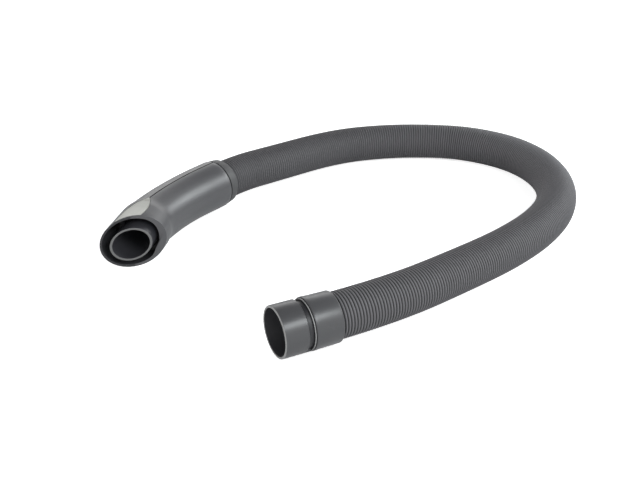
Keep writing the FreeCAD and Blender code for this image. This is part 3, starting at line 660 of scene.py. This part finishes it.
def grip_profile(sizes):
    """Stations of the grip's outside from its mouth back, as (length, radius)."""
    stations = [(-0.026, sizes.mouth / 2), (-0.010, sizes.mouth / 2), (0.008, sizes.mouth / 2),
                (0.022, sizes.mouth / 2), (MOUTH_RUN, sizes.mouth / 2)]
    marks = [(MOUTH_RUN, sizes.mouth), (0.050, sizes.waist), (GRIP_LENGTH - 0.0606, sizes.middle),
             (GRIP_LENGTH, sizes.rear)]
    for (start, before), (end, after) in zip(marks, marks[1:]):
        steps = max(1, round((end - start) / 0.0045))
        for step in range(1, steps + 1):
            share = step / steps
            ease = share * share * (3 - 2 * share)
            stations.append((start + share * (end - start), (before + (after - before) * ease) / 2))
    return stations


def sweep_ring(name, stations, half=0, points=128):
    """A wall round the grip's centreline, closed at both ends.

    Each station is (length, outer radius, inner radius, inner shift to the outer side). With half at
    1 or -1, only the half on the concave or the convex side is made.
    """
    def centre_of(length):
        if length < 0:
            return MOUTH + Vector((0, length, 0)), math.pi / 2
        return grip_station(length)

    length, outer, inner, shift = stations[0]
    centre, heading = centre_of(length)
    start_clean()
    bpy.ops.mesh.primitive_circle_add(vertices=points, radius=outer, fill_type="NOTHING", location=centre,
                                      rotation=(math.pi / 2, 0, 0))
    piece = bpy.context.object
    piece.name = name
    settle(piece)
    edit(piece)
    if half:
        pick(piece, lambda place: (place.x - centre.x) * half < -1e-6)
        bpy.ops.mesh.delete(type="VERT")
    bpy.ops.mesh.select_all(action="SELECT")
    bpy.ops.mesh.extrude_region_move()
    bpy.ops.transform.resize(value=(inner / outer,) * 3, center_override=centre)
    bpy.ops.transform.translate(value=(-shift, 0, 0))
    if half:
        open_seam(piece, centre, outer, inner, shift, half)
    bpy.ops.mesh.select_all(action="SELECT")
    for next_length, next_outer, next_inner, next_shift in stations[1:]:
        next_centre, next_heading = centre_of(next_length)
        bpy.ops.mesh.extrude_region_move(TRANSFORM_OT_translate={"value": next_centre - centre})
        if abs(next_heading - heading) > 1e-9:
            bpy.ops.transform.rotate(value=heading - next_heading, orient_axis="Z", center_override=next_centre)
        share = next_outer / outer
        bpy.ops.transform.resize(value=(share,) * 3, center_override=next_centre)
        if abs(next_inner - inner * share) > 1e-7 or abs(next_shift - shift * share) > 1e-7:
            move_inner_arc(piece, next_centre, next_heading, inner * share, shift * share, next_inner, next_shift)
        length, outer, inner, shift = next_length, next_outer, next_inner, next_shift
        centre, heading = next_centre, next_heading
    leave_edit()
    fix_normals(piece)
    return piece


def open_seam(piece, centre, outer, inner, shift, half):
    """Opens the joint of the half shells into a narrow V, from half the wall's depth outwards."""
    def corner(place):
        rise = abs(place.z - centre.z)
        return (abs(place.x - centre.x) < 2e-6 and abs(rise - outer) < 2e-6
                or abs(place.x - centre.x + shift) < 2e-6 and abs(rise - inner) < 2e-6)

    pick(piece, corner)
    bpy.ops.mesh.subdivide(number_cuts=1)
    pick(piece, lambda place: abs(place.x - centre.x) < 2e-6 and abs(abs(place.z - centre.z) - outer) < 2e-6)
    bpy.ops.transform.translate(value=(half * SEAM_OPENING, 0, 0))


def move_inner_arc(piece, centre, heading, radius, shift, next_radius, next_shift):
    """Gives the inner arc of the section just made a new radius and shift."""
    right = Vector((math.sin(heading), -math.cos(heading), 0))
    whole = picked_places(piece)
    middle = centre - right * shift
    arc = [place for place in whole if abs((place - middle).length - radius) < 5e-6]
    rest = [place for place in whole if abs((place - middle).length - radius) >= 5e-6]
    pick_again(piece, arc)
    bpy.ops.transform.resize(value=(next_radius / radius,) * 3, center_override=middle)
    bpy.ops.transform.translate(value=right * (shift - next_shift))
    pick_again(piece, picked_places(piece) + rest)


def close_lip(shell, sizes, half):
    """Shuts the open joint again in the lip in front of the inlays."""
    edit(shell)
    pick(shell, lambda place: place.y - MOUTH.y < LIP_END
         and abs(place.x - MOUTH.x - half * SEAM_OPENING) < 5e-6
         and abs(abs(place.z - MOUTH.z) - sizes.mouth / 2) < 5e-6)
    bpy.ops.transform.translate(value=(-half * SEAM_OPENING, 0, 0))
    leave_edit()


def in_seam():
    """A test for the walls of the joint between the half shells."""
    line = [grip_station(number * 0.0015) for number in range(100)]

    def test(place, normal):
        if abs(normal.z) > 0.75 or abs(place.z - MOUTH.z) < 0.0185 or place.y - MOUTH.y < LIP_END:
            return False
        centre, heading = min(line, key=lambda station: abs((place - station[0]).x * math.cos(station[1])
                                                            + (place - station[0]).y * math.sin(station[1])))
        return abs((place - centre).x * math.sin(heading) - (place - centre).y * math.cos(heading)) < SEAM_OPENING

    return test


def slant_normal():
    return Vector((math.sin(MOUTH_SLANT), -math.cos(MOUTH_SLANT), 0))


def cut_slant(piece, setback):
    """Cuts the mouth off at its slanted plane."""
    edit(piece)
    bpy.ops.mesh.select_all(action="SELECT")
    bpy.ops.mesh.bisect(plane_co=MOUTH + Vector((0, setback, 0)), plane_no=slant_normal(), use_fill=True,
                        clear_outer=True)
    leave_edit()
    fix_normals(piece)


def round_rim(piece, setback, width, share_at, segments=5):
    """Rounds the edges of the slanted rim, each by its own share of a width."""
    origin = MOUTH + Vector((0, setback, 0))
    normal = slant_normal()
    shares = piece.data.attributes.new("bevel_weight_edge", "FLOAT", "EDGE")
    places = [vertex.co for vertex in piece.data.vertices]
    for line in piece.data.edges:
        first, second = (places[number] for number in line.vertices)
        if abs((first - origin).dot(normal)) < 2e-6 and abs((second - origin).dot(normal)) < 2e-6:
            if (first - second).length < 0.004 and abs(from_axis(first) - from_axis(second)) < 0.0006:
                shares.data[line.index].value = share_at((first + second) / 2)
    start_clean()
    bpy.context.view_layer.objects.active = piece
    piece.select_set(True)
    rounding = piece.modifiers.new("round_rim", "BEVEL")
    rounding.limit_method = "WEIGHT"
    rounding.width = width
    rounding.segments = segments
    bpy.ops.object.modifier_apply(modifier=rounding.name)
    left = piece.data.attributes.get("bevel_weight_edge")
    if left:
        piece.data.attributes.remove(left)


def from_axis(place):
    """Distance from the axis of the grip's straight mouth."""
    return math.hypot(place.x - MOUTH.x, place.z - MOUTH.z)


def shell_rim_share(place):
    """The shells' lip is thin on the convex side and rolls over widely on the concave side."""
    inward = max((place.x - MOUTH.x) / from_axis(place), 0.0)
    if from_axis(place) < 0.0246:
        return 0.14 + 0.3 * inward
    return 0.22 + 0.78 * inward ** 0.8


def swell_lip(shell, sizes):
    """Thickens the lip inwards on the concave side, most where the lug is, low beside the duct."""
    for number in range(-24, 23):
        degrees = number * 360.0 / 128
        push = 0.0
        for middle, reach, height in LIP_SWELLINGS:
            if abs(degrees - middle) < reach:
                push += height * (0.5 + 0.5 * math.cos(math.pi * (degrees - middle) / reach))
        way = Vector((math.cos(math.radians(degrees)), 0, math.sin(math.radians(degrees))))
        inner = Vector((MOUTH.x - sizes.pocket_shift, 0, MOUTH.z)) + way * sizes.pocket / 2
        edit(shell)
        pick(shell, lambda place: math.hypot(place.x - inner.x, place.z - inner.z) < 0.0003
             and place.y - MOUTH.y < 0.0225)
        bpy.ops.transform.translate(value=way * -push)
        leave_edit()


def faces_grip_axis(place, normal):
    """True for faces of the mouth's inside and of the thin side of its rim, which are given painted shade."""
    if place.y - MOUTH.y > 0.0345:
        return False
    out = Vector((place.x - MOUTH.x, 0, place.z - MOUTH.z))
    rim = MOUTH + Vector((0, bpy.context.scene.vacuum_grip.setback, 0))
    lip = 0.0002 + 0.0012 * max(out.x / out.length, 0.0)
    if (place - rim).dot(slant_normal()) > -lip:
        thin_side = out.x < 0.35 * out.length and out.z < 0.7 * out.length
        return thin_side and out.length < 0.0246
    return out.length < 0.0240 and (out.dot(normal) < 0 or abs(normal.y) > 0.98)


# Corners of a leaf-shaped inlay, seen from above in the grip's frame.
LEAF_TIP = (0.0009, 0.050)
LEAF_INNER = ((0.0070, 0.032), (0.0054, 0.008))
LEAF_OUTER = ((-0.0106, 0.024), (-0.0132, 0.0))


def arc_side(along, first, second, third):
    """Side coordinate at a place along an arc through three points."""
    (ax, ay), (bx, by), (cx, cy) = first, second, third
    double = 2 * (ax * (by - cy) + bx * (cy - ay) + cx * (ay - by))
    a, b, c = ax * ax + ay * ay, bx * bx + by * by, cx * cx + cy * cy
    ux = (a * (by - cy) + b * (cy - ay) + c * (ay - by)) / double
    uy = (a * (cx - bx) + b * (ax - cx) + c * (bx - ax)) / double
    radius = math.hypot(ax - ux, ay - uy)
    reach = math.sqrt(max(radius * radius - (along - uy) ** 2, 0.0))
    return ux + reach if bx > ux else ux - reach


def leaf_edges(along, grown):
    """Where the leaf's two edges lie at a place along the grip."""
    tip = (LEAF_TIP[0], LEAF_TIP[1] + grown)
    inner = [(LEAF_INNER[0][0] + grown, LEAF_INNER[0][1]), (LEAF_INNER[1][0] + grown, LEAF_INNER[1][1])]
    outer = [(LEAF_OUTER[0][0] - grown, LEAF_OUTER[0][1]), (LEAF_OUTER[1][0] - grown, LEAF_OUTER[1][1])]
    high = inner[1][0] if along < inner[1][1] else arc_side(along, tip, inner[0], inner[1])
    low = outer[1][0] if along < outer[1][1] else arc_side(along, tip, outer[0], outer[1])
    return low, high


def leaf_sheet(name, grown, ground, side, columns=20, rows=46):
    """A leaf-shaped sheet laid on a body, made from a grid whose rows are fitted to the leaf's edges."""
    front, back = -0.022, LEAF_TIP[1] + grown
    start_clean()
    bpy.ops.mesh.primitive_grid_add(x_subdivisions=columns, y_subdivisions=rows, size=1.0,
                                    location=(0, 0, 0))
    sheet = bpy.context.object
    sheet.name = name
    edit(sheet)
    for row in range(rows + 1):
        share = row / rows
        line = share - 0.5
        along = front + (back - front) * (1 - (1 - share) ** 1.35)
        low, high = leaf_edges(min(along, back - 1e-5), grown)
        pick(sheet, lambda place: abs(place.y - line) < 1e-5 and abs(place.z) < 1e-6)
        width = max(high - low, 0.0002)
        bpy.ops.transform.resize(value=(width, 1, 1), center_override=(0, line, 0))
        bpy.ops.transform.translate(value=(MOUTH.x + (low + high) / 2, MOUTH.y + along - line, side * 0.08))
    leave_edit()
    wrap = sheet.modifiers.new("lay", "SHRINKWRAP")
    wrap.target = ground
    wrap.wrap_method = "PROJECT"
    wrap.use_project_z = True
    wrap.use_negative_direction = side > 0
    wrap.use_positive_direction = side < 0
    bpy.context.view_layer.objects.active = sheet
    sheet.select_set(True)
    bpy.ops.object.modifier_apply(modifier=wrap.name)
    return sheet


def thicken(piece, thickness, offset):
    start_clean()
    bpy.context.view_layer.objects.active = piece
    piece.select_set(True)
    wall = piece.modifiers.new("wall", "SOLIDIFY")
    wall.thickness = thickness
    wall.offset = offset
    bpy.ops.object.modifier_apply(modifier=wall.name)


def grip_body(name, less):
    """The grip's outside as one closed body, made smaller all round by a depth."""
    stations = [(length, radius - less, 0.004, 0.0) for length, radius in grip_profile(bpy.context.scene.vacuum_grip)]
    return sweep_ring(name, stations)


def recess_tool(side):
    """What is cut out of the shells to let an inlay in."""
    sizes = bpy.context.scene.vacuum_grip
    floor = grip_body("recess_floor", sizes.recess)
    tool = leaf_sheet("recess_tool", sizes.inlay_gap, floor, side)
    bpy.data.objects.remove(floor, do_unlink=True)
    edit(tool)
    bpy.ops.mesh.select_all(action="SELECT")
    bpy.ops.mesh.bisect(plane_co=MOUTH + Vector((0, sizes.setback + INLAY_LIP, 0)), plane_no=slant_normal(),
                        clear_outer=True)
    bpy.ops.mesh.select_all(action="SELECT")
    bpy.ops.mesh.extrude_region_move(TRANSFORM_OT_translate={"value": (0, 0, side * 0.012)})
    leave_edit()
    fix_normals(tool)
    return tool


def shell_stations(sizes):
    """Outside, inside and shift of the half shells from the mouth back."""
    stations = []
    pocket = sizes.pocket / 2
    hole = sizes.duct / 2 + 0.00005
    bulkhead = 0.0025
    for length, radius in grip_profile(sizes):
        if length <= MOUTH_RUN + 1e-9:
            stations.append((length, radius, pocket, sizes.pocket_shift))
        else:
            if stations[-1][0] <= MOUTH_RUN + 1e-9:
                start = sizes.mouth / 2
                stations.append((MOUTH_RUN + 0.00002, start, hole, 0.0))
                stations.append((MOUTH_RUN + bulkhead, start - 0.00009, hole, 0.0))
                stations.append((MOUTH_RUN + bulkhead + 0.00002, start - 0.00009, start - 0.003, 0.0))
            if length > MOUTH_RUN + bulkhead + 0.001:
                stations.append((length, radius, radius - sizes.wall, 0.0))
    last_length, last_radius, last_inner, _ = stations.pop()
    stations += [(last_length - 0.0006, last_radius, last_inner, 0.0),
                 (last_length - 0.00025, last_radius - 0.00012, last_inner, 0.0),
                 (last_length, last_radius - 0.0006, last_inner, 0.0)]
    return stations


class VACUUM_OT_shells(bpy.types.Operator):
    """Add the two half shells of the hand grip, with the recesses for the inlays"""
    bl_idname = "vacuum.shells"
    bl_label = "Half Shells"

    def execute(self, context):
        sizes = context.scene.vacuum_grip
        for name, node, half in (("outer_half_shell", "handle_outer_shell", -1),
                                 ("inner_half_shell", "handle_inner_shell", 1)):
            shell = sweep_ring(name, shell_stations(sizes), half=half)
            for side in (1, -1):
                carve(shell, recess_tool(side))
            cut_slant(shell, sizes.setback)
            close_lip(shell, sizes, half)
            if half > 0:
                swell_lip(shell, sizes)
            round_rim(shell, sizes.setback, 0.0022, shell_rim_share)
            finish_piece(shell, "grip", node, "grip_plastic")
            # The mouth's inside and the thin side of its rim get painted shade.
            line_faces(shell, "inner_plastic", faces_grip_axis)
            # The walls of the joint between the half shells get painted shade.
            line_faces(shell, "seal_rubber", in_seam())
        return {"FINISHED"}


class VACUUM_OT_inlays(bpy.types.Operator):
    """Add the two dished leaf-shaped inlays in the sides of the mouth"""
    bl_idname = "vacuum.inlays"
    bl_label = "Leaf Inlays"

    def execute(self, context):
        sizes = context.scene.vacuum_grip
        for name, node, side in (("upper_leaf", "upper_inlay", 1), ("lower_leaf", "lower_inlay", -1)):
            body = grip_body("inlay_ground", 0.0)
            leaf = leaf_sheet(name, 0.0, body, side)
            bpy.data.objects.remove(body, do_unlink=True)
            dish_leaf(leaf, side)
            thicken(leaf, sizes.inlay, -1.0 if leaf.data.polygons[0].normal.z * side > 0 else 1.0)
            fix_normals(leaf)
            cut_slant(leaf, sizes.setback + INLAY_LIP + sizes.inlay_gap)
            soften(leaf, 0.0003)
            finish_piece(leaf, "grip", node, "inlay_plastic")
        return {"FINISHED"}


def dish_leaf(leaf, side):
    """Presses the leaf in: a shallow dish inside a narrow border, deepest towards the tip."""
    def inside(place, share, start, end):
        along = place.y - MOUTH.y
        if not start < along < end:
            return False
        low, high = leaf_edges(along, 0.0)
        return abs(place.x - MOUTH.x - (low + high) / 2) < share * (high - low) / 2

    edit(leaf)
    pick(leaf, lambda place: inside(place, 0.66, 0.007, 0.043))
    bpy.ops.transform.translate(value=(0, 0, -side * 0.00045), use_proportional_edit=True,
                                proportional_edit_falloff="SMOOTH", proportional_size=0.0016)
    pick(leaf, lambda place: inside(place, 0.2, 0.028, 0.033))
    bpy.ops.transform.translate(value=(0, 0, -side * 0.0005), use_proportional_edit=True,
                                proportional_edit_falloff="SMOOTH", proportional_size=0.0140)
    leave_edit()


def soften(piece, width, angle=50.0):
    """Rounds every sharp edge a little."""
    start_clean()
    bpy.context.view_layer.objects.active = piece
    piece.select_set(True)
    rounding = piece.modifiers.new("soften", "BEVEL")
    rounding.width = width
    rounding.segments = 2
    rounding.limit_method = "ANGLE"
    rounding.angle_limit = math.radians(angle)
    bpy.ops.object.modifier_apply(modifier=rounding.name)


class VACUUM_OT_duct(bpy.types.Operator):
    """Add the duct that the wand goes over, with its rounded rim"""
    bl_idname = "vacuum.duct"
    bl_label = "Duct"

    def execute(self, context):
        sizes = context.scene.vacuum_grip
        outer = sizes.duct / 2
        inner = outer - sizes.duct_wall
        seat = 0.0004
        stations = [(-0.018, outer, inner, 0.0), (0.0, outer, inner, 0.0), (0.0148, outer, inner, 0.0),
                    (0.0295, outer, inner, 0.0), (0.02952, outer - seat, inner, 0.0),
                    (0.03198, outer - seat, inner, 0.0), (MOUTH_RUN, outer, inner, 0.0)]
        tail = GRIP_LENGTH - 0.0206 + 0.005
        steps = 24
        stations += [(MOUTH_RUN + (tail - MOUTH_RUN) * step / steps, outer, inner, 0.0)
                     for step in range(1, steps + 1)]
        duct = sweep_ring("wand_duct_tube", stations, points=96)
        cut_slant(duct, 0.0)
        round_rim(duct, 0.0, 0.0007, lambda place: 1.0, segments=4)
        finish_piece(duct, "grip", "wand_duct", "duct_plastic")
        # The faces of the duct's rim get a painted highlight.
        rim = MOUTH + Vector((0, 0.0002, 0))
        line_faces(duct, "duct_rim", lambda place, normal: (place - rim).dot(slant_normal()) > 0)
        return {"FINISHED"}


class VACUUM_OT_swivel_collar(bpy.types.Operator):
    """Add the flat grey collar between the grip and the hose"""
    bl_idname = "vacuum.swivel_collar"
    bl_label = "Swivel Collar"

    def execute(self, context):
        collar = turn_outline("swivel_collar_ring", [
            (0.02105, 0.0210), (0.0229, 0.0210), (0.0229, 0.0220), (0.0238, 0.0220), (0.0225, 0.0321),
            (0.0201, 0.0321), (0.0201, 0.0305), (0.02105, 0.0305)])
        bevel_rings(collar, [(0.0238, 0.0220, 0.0005), (0.0225, 0.0321, 0.0014), (0.0201, 0.0321, 0.0004)])
        settle(collar, rear_frame())
        finish_piece(collar, "hose_set", "swivel_collar", "collar_plastic")
        # The collar's front step, in the gap behind the grip, gets painted shade.
        unturned = rear_frame().inverted()
        line_faces(collar, "inner_plastic", lambda place, normal: (unturned @ place).z < 0.02205)
        return {"FINISHED"}


# ---------------------------------------------------------------- cuff

def slot_tool(sizes):
    """What is cut out of the spigot for the machine's latch, in the turned pieces' own frame."""
    start_clean()
    radius = sizes.spigot / 2
    bottom = radius - sizes.slot_depth
    front, back = 0.0190, 0.0270
    bpy.ops.mesh.primitive_plane_add(size=1.0, location=(0, 0, 0), rotation=(math.pi / 2, 0, 0))
    tool = bpy.context.object
    tool.name = "slot_tool"
    settle(tool)
    edit(tool)
    corners = {(-1, -1): (bottom, front + sizes.slot_depth), (1, -1): (radius + 0.003, front - 0.0008),
               (-1, 1): (bottom, back), (1, 1): (radius + 0.003, back)}
    for (x_sign, z_sign), (across, along) in corners.items():
        pick(tool, lambda place: abs(place.x - x_sign * 0.5) < 1e-6 and abs(place.z - z_sign * 0.5) < 1e-6)
        bpy.ops.transform.translate(value=(across - x_sign * 0.5, 0, along - z_sign * 0.5))
    bpy.ops.mesh.select_all(action="SELECT")
    bpy.ops.mesh.spin(steps=65, angle=math.radians(195.0), center=(0, 0, 0), axis=(0, 0, 1), dupli=False)
    for step in range(66):
        turned = -math.radians(step * 3.0)
        way = Vector((math.cos(turned), math.sin(turned), 0))
        near = 1.0 - step * 3.0 / 36.0
        if near <= 0:
            break
        pick(tool, lambda place: place.z < 0.0225 and abs(place.normalized().cross(way).z) < 0.02
             and place.dot(way) > 0)
        bpy.ops.transform.translate(value=(0, 0, -0.0017 * near * near))
    leave_edit()
    fix_normals(tool)
    return tool


class VACUUM_OT_cuff_spigot(bpy.types.Operator):
    """Add the front part of the cuff, with its stepped bore and its latch slot"""
    bl_idname = "vacuum.cuff_spigot"
    bl_label = "Cuff Spigot"

    def execute(self, context):
        sizes = context.scene.vacuum_cuff
        outer = sizes.spigot / 2
        mouth = outer - sizes.spigot_wall
        spigot = turn_outline("spigot_barrel", [
            (mouth, 0.0), (outer, 0.0), (outer, 0.0246), (0.0192, 0.0246), (0.0192, 0.0334), (0.0204, 0.0334),
            (0.0204, 0.0356), (0.0160, 0.0356), (0.0160, 0.0170), (mouth, 0.0170)])
        bevel_rings(spigot, [(outer, 0.0, 0.0008), (mouth, 0.0, 0.0004), (outer, 0.0246, 0.0003),
                             (0.0160, 0.0170, 0.0005)])
        tool = slot_tool(sizes)
        settle(tool, Matrix.Rotation(math.radians(45.0), 4, "Z"))
        carve(spigot, tool)
        settle(spigot, cuff_frame())
        finish_piece(spigot, "spigot", "cuff_spigot", "cuff_plastic")
        along = cuff_frame().to_3x3().col[2]

        def in_bore(place, normal):
            out = (place - CUFF) - along * (place - CUFF).dot(along)
            reach = (place - CUFF).dot(along)
            return out.length < mouth + 0.0001 and reach > 0.0006 and not 0.0165 < reach < 0.0174

        # The cuff's front edge gets a painted highlight.
        def on_rim(place, normal):
            return normal.dot(along) < -0.35 and (place - CUFF).dot(along) < 0.0009

        def in_slot(place, normal):
            reach = (place - CUFF).dot(along)
            out = (place - CUFF) - along * reach
            return 0.016 < reach < 0.0275 and out.length < outer - 0.0001

        # The bore and the latch slot get painted shade.
        line_faces(spigot, "inner_plastic", in_bore)
        line_faces(spigot, "inner_plastic", in_slot)
        line_faces(spigot, "painted_rim_highlight", on_rim)
        return {"FINISHED"}


class VACUUM_OT_cuff_ring(bpy.types.Operator):
    """Add the thin light ring between the spigot and the collar"""
    bl_idname = "vacuum.cuff_ring"
    bl_label = "Cuff Ring"

    def execute(self, context):
        ring = turn_outline("light_ring", [(0.0195, 0.0249), (0.0211, 0.0249), (0.0211, 0.0256), (0.0202, 0.0258),
                                           (0.0202, 0.0264), (0.0195, 0.0264)])
        bevel_rings(ring, [(0.0211, 0.0249, 0.0003), (0.0211, 0.0256, 0.0002)], segments=3)
        settle(ring, cuff_frame())
        finish_piece(ring, "hose_set", "cuff_ring", "ring_plastic")
        along = cuff_frame().to_3x3().col[2]
        # The ring's foot, down in the gap before the collar, gets painted shade.
        line_faces(ring, "inner_plastic",
                   lambda place, normal: ((place - CUFF) - along * (place - CUFF).dot(along)).length < 0.0208)
        return {"FINISHED"}


class VACUUM_OT_cuff_collar(bpy.types.Operator):
    """Add the rear part of the cuff, round the end of the hose"""
    bl_idname = "vacuum.cuff_collar"
    bl_label = "Cuff Collar"

    def execute(self, context):
        sizes = context.scene.vacuum_cuff
        outer = sizes.collar / 2
        back = sizes.length
        collar = turn_outline("collar_barrel", [
            (0.0195, 0.0264), (outer, 0.0264), (outer, 0.0292), (outer - 0.00025, 0.0320), (0.0214, back),
            (0.0198, back), (0.0198, 0.0377), (0.0207, 0.0377), (0.0207, 0.0331), (0.0195, 0.0331)])
        bevel_rings(collar, [(outer, 0.0264, 0.0005), (0.0214, back, 0.0010), (0.0198, back, 0.0002)])
        settle(collar, cuff_frame())
        finish_piece(collar, "hose_set", "cuff_collar", "cuff_plastic")
        return {"FINISHED"}


class VACUUM_OT_inner_fittings(bpy.types.Operator):
    """Give the fittings that keep their CAD shape their finishes"""
    bl_idname = "vacuum.inner_fittings"
    bl_label = "Inner Fittings"

    def execute(self, context):
        made = finishes()
        for node, slot in (("duct_seal", "seal_rubber"), ("shell_screws", "screw_steel"),
                           ("hose_end_sleeve", "inner_plastic"), ("sleeve_seal", "seal_rubber"),
                           ("hose_insert", "inner_plastic"), ("spigot_seal", "seal_rubber")):
            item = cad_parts[node]
            if not item.material_slots:
                item.data.materials.append(None)
            for place in item.material_slots:
                place.material = made[slot]
        return {"FINISHED"}


# ---------------------------------------------------------------- stage

# Tint of the two panels whose glow shows on the grip and the cuff.
COOL = (0.94, 0.985, 1.0)


def soft_lamp(name, place, target, size, energy, colour=(1.0, 1.0, 1.0)):
    lamp = bpy.data.lights.new(name, "AREA")
    lamp.shape = "RECTANGLE"
    lamp.size, lamp.size_y = size
    lamp.energy = energy
    lamp.color = colour
    holder = bpy.data.objects.new(name, lamp)
    holder.location = place
    holder.rotation_euler = (Vector(place) - Vector(target)).to_track_quat("Z", "Y").to_euler()
    bpy.context.collection.objects.link(holder)


def white_floor():
    material = bpy.data.materials.new("white_floor")
    material.use_nodes = True
    tree = material.node_tree
    shader = tree.nodes["Principled BSDF"]
    shader.inputs["Base Color"].default_value = (0.80, 0.80, 0.80, 1.0)
    shader.inputs["Roughness"].default_value = 0.9
    shader.inputs["Specular IOR Level"].default_value = 0.0
    shader.inputs["Emission Color"].default_value = (1.0, 1.0, 1.0, 1.0)
    rays = tree.nodes.new("ShaderNodeLightPath")
    seen = math_node(tree, "MULTIPLY", rays.outputs["Is Camera Ray"], 0.75)
    tree.links.new(seen, shader.inputs["Emission Strength"])
    return material


class VACUUM_OT_stage(bpy.types.Operator):
    """Add the white floor, the soft studio light and the camera"""
    bl_idname = "vacuum.stage"
    bl_label = "Stage"

    def execute(self, context):
        start_clean()
        bpy.ops.mesh.primitive_plane_add(size=12.0, location=(0, 0, 0))
        floor = context.object
        floor.name = "white_floor"
        floor.data.materials.append(white_floor())
        world = bpy.data.worlds.new("studio")
        world.use_nodes = True
        context.scene.world = world
        tree = world.node_tree
        background = tree.nodes["Background"]
        background.inputs["Color"].default_value = (1.0, 1.0, 1.0, 1.0)
        rays = tree.nodes.new("ShaderNodeLightPath")
        way = tree.nodes.new("ShaderNodeSeparateXYZ")
        tree.links.new(tree.nodes.new("ShaderNodeTexCoord").outputs["Generated"], way.inputs[0])
        overhead = tree.nodes.new("ShaderNodeClamp")
        tree.links.new(math_node(tree, "MULTIPLY_ADD", way.outputs["Z"], 5.3, -2.8), overhead.inputs["Value"])
        level = math_node(tree, "MULTIPLY_ADD", overhead.outputs[0], -0.93, 1.0)
        missing = math_node(tree, "SUBTRACT", 1.0, level)
        strength = math_node(tree, "MULTIPLY_ADD", missing, rays.outputs["Is Camera Ray"], level)
        tree.links.new(strength, background.inputs["Strength"])
        soft_lamp("panel_right", (1.14, 0.78, 0.64), (-0.07, 0.08, 0.03), (0.75, 0.5), 10.0, COOL)
        soft_lamp("panel_beside", (1.2, -0.68, 1.2), (0.07, -0.1, 0.02), (1.1, 0.5), 20.0, COOL)
        soft_lamp("panel_back", (-0.3, 2.3, 0.8), (0.0, 0.1, 0.02), (3.0, 0.6), 10.0)
        soft_lamp("panel_front", (-0.7, -1.9, 0.9), (0.0, 0.0, 0.0), (1.6, 0.8), 18.0)
        lens = bpy.data.cameras.new("camera")
        lens.lens = 52.6
        lens.sensor_width = 36.0
        camera = bpy.data.objects.new("camera", lens)
        camera.location = (0.21307, -0.71319, 0.41469)
        camera.rotation_euler = (math.radians(90 - 27.4335), 0, math.radians(10.9))
        context.collection.objects.link(camera)
        context.scene.camera = camera
        context.scene.view_settings.view_transform = "Standard"
        return {"FINISHED"}


class VACUUM_PT_panel(bpy.types.Panel):
    """Lists the pieces of the vacuum hose"""
    bl_idname = "VACUUM_PT_panel"
    bl_label = "Vacuum Hose"
    bl_space_type = "VIEW_3D"
    bl_region_type = "UI"
    bl_category = "Vacuum Hose"

    def draw(self, context):
        for operator in OPERATORS:
            self.layout.operator(operator.bl_idname)
        for name in GROUPS:
            group = getattr(context.scene, name)
            for label in group.bl_rna.properties.keys():
                if label not in ("rna_type", "name"):
                    self.layout.prop(group, label)


GROUPS = {"vacuum_hose": HoseSizes, "vacuum_grip": GripSizes, "vacuum_cuff": CuffSizes,
          "vacuum_colours": SetColours}
OPERATORS = [VACUUM_OT_stage, VACUUM_OT_hose, VACUUM_OT_shells, VACUUM_OT_inlays, VACUUM_OT_duct,
             VACUUM_OT_swivel_collar, VACUUM_OT_cuff_spigot, VACUUM_OT_cuff_ring, VACUUM_OT_cuff_collar,
             VACUUM_OT_inner_fittings]
CLASSES = [*GROUPS.values(), *OPERATORS, VACUUM_PT_panel]


def register():
    for item in CLASSES:
        bpy.utils.register_class(item)
    for name, group in GROUPS.items():
        setattr(bpy.types.Scene, name, PointerProperty(type=group))


def unregister():
    for name in GROUPS:
        delattr(bpy.types.Scene, name)
    for item in reversed(CLASSES):
        bpy.utils.unregister_class(item)


def main():
    register()
    bpy.ops.vacuum.stage()
    bpy.ops.vacuum.hose()
    bpy.ops.vacuum.shells()
    bpy.ops.vacuum.inlays()
    bpy.ops.vacuum.duct()
    bpy.ops.vacuum.swivel_collar()
    bpy.ops.vacuum.cuff_spigot()
    bpy.ops.vacuum.cuff_ring()
    bpy.ops.vacuum.cuff_collar()
    bpy.ops.vacuum.inner_fittings()


if __name__ == "__main__":
    main()
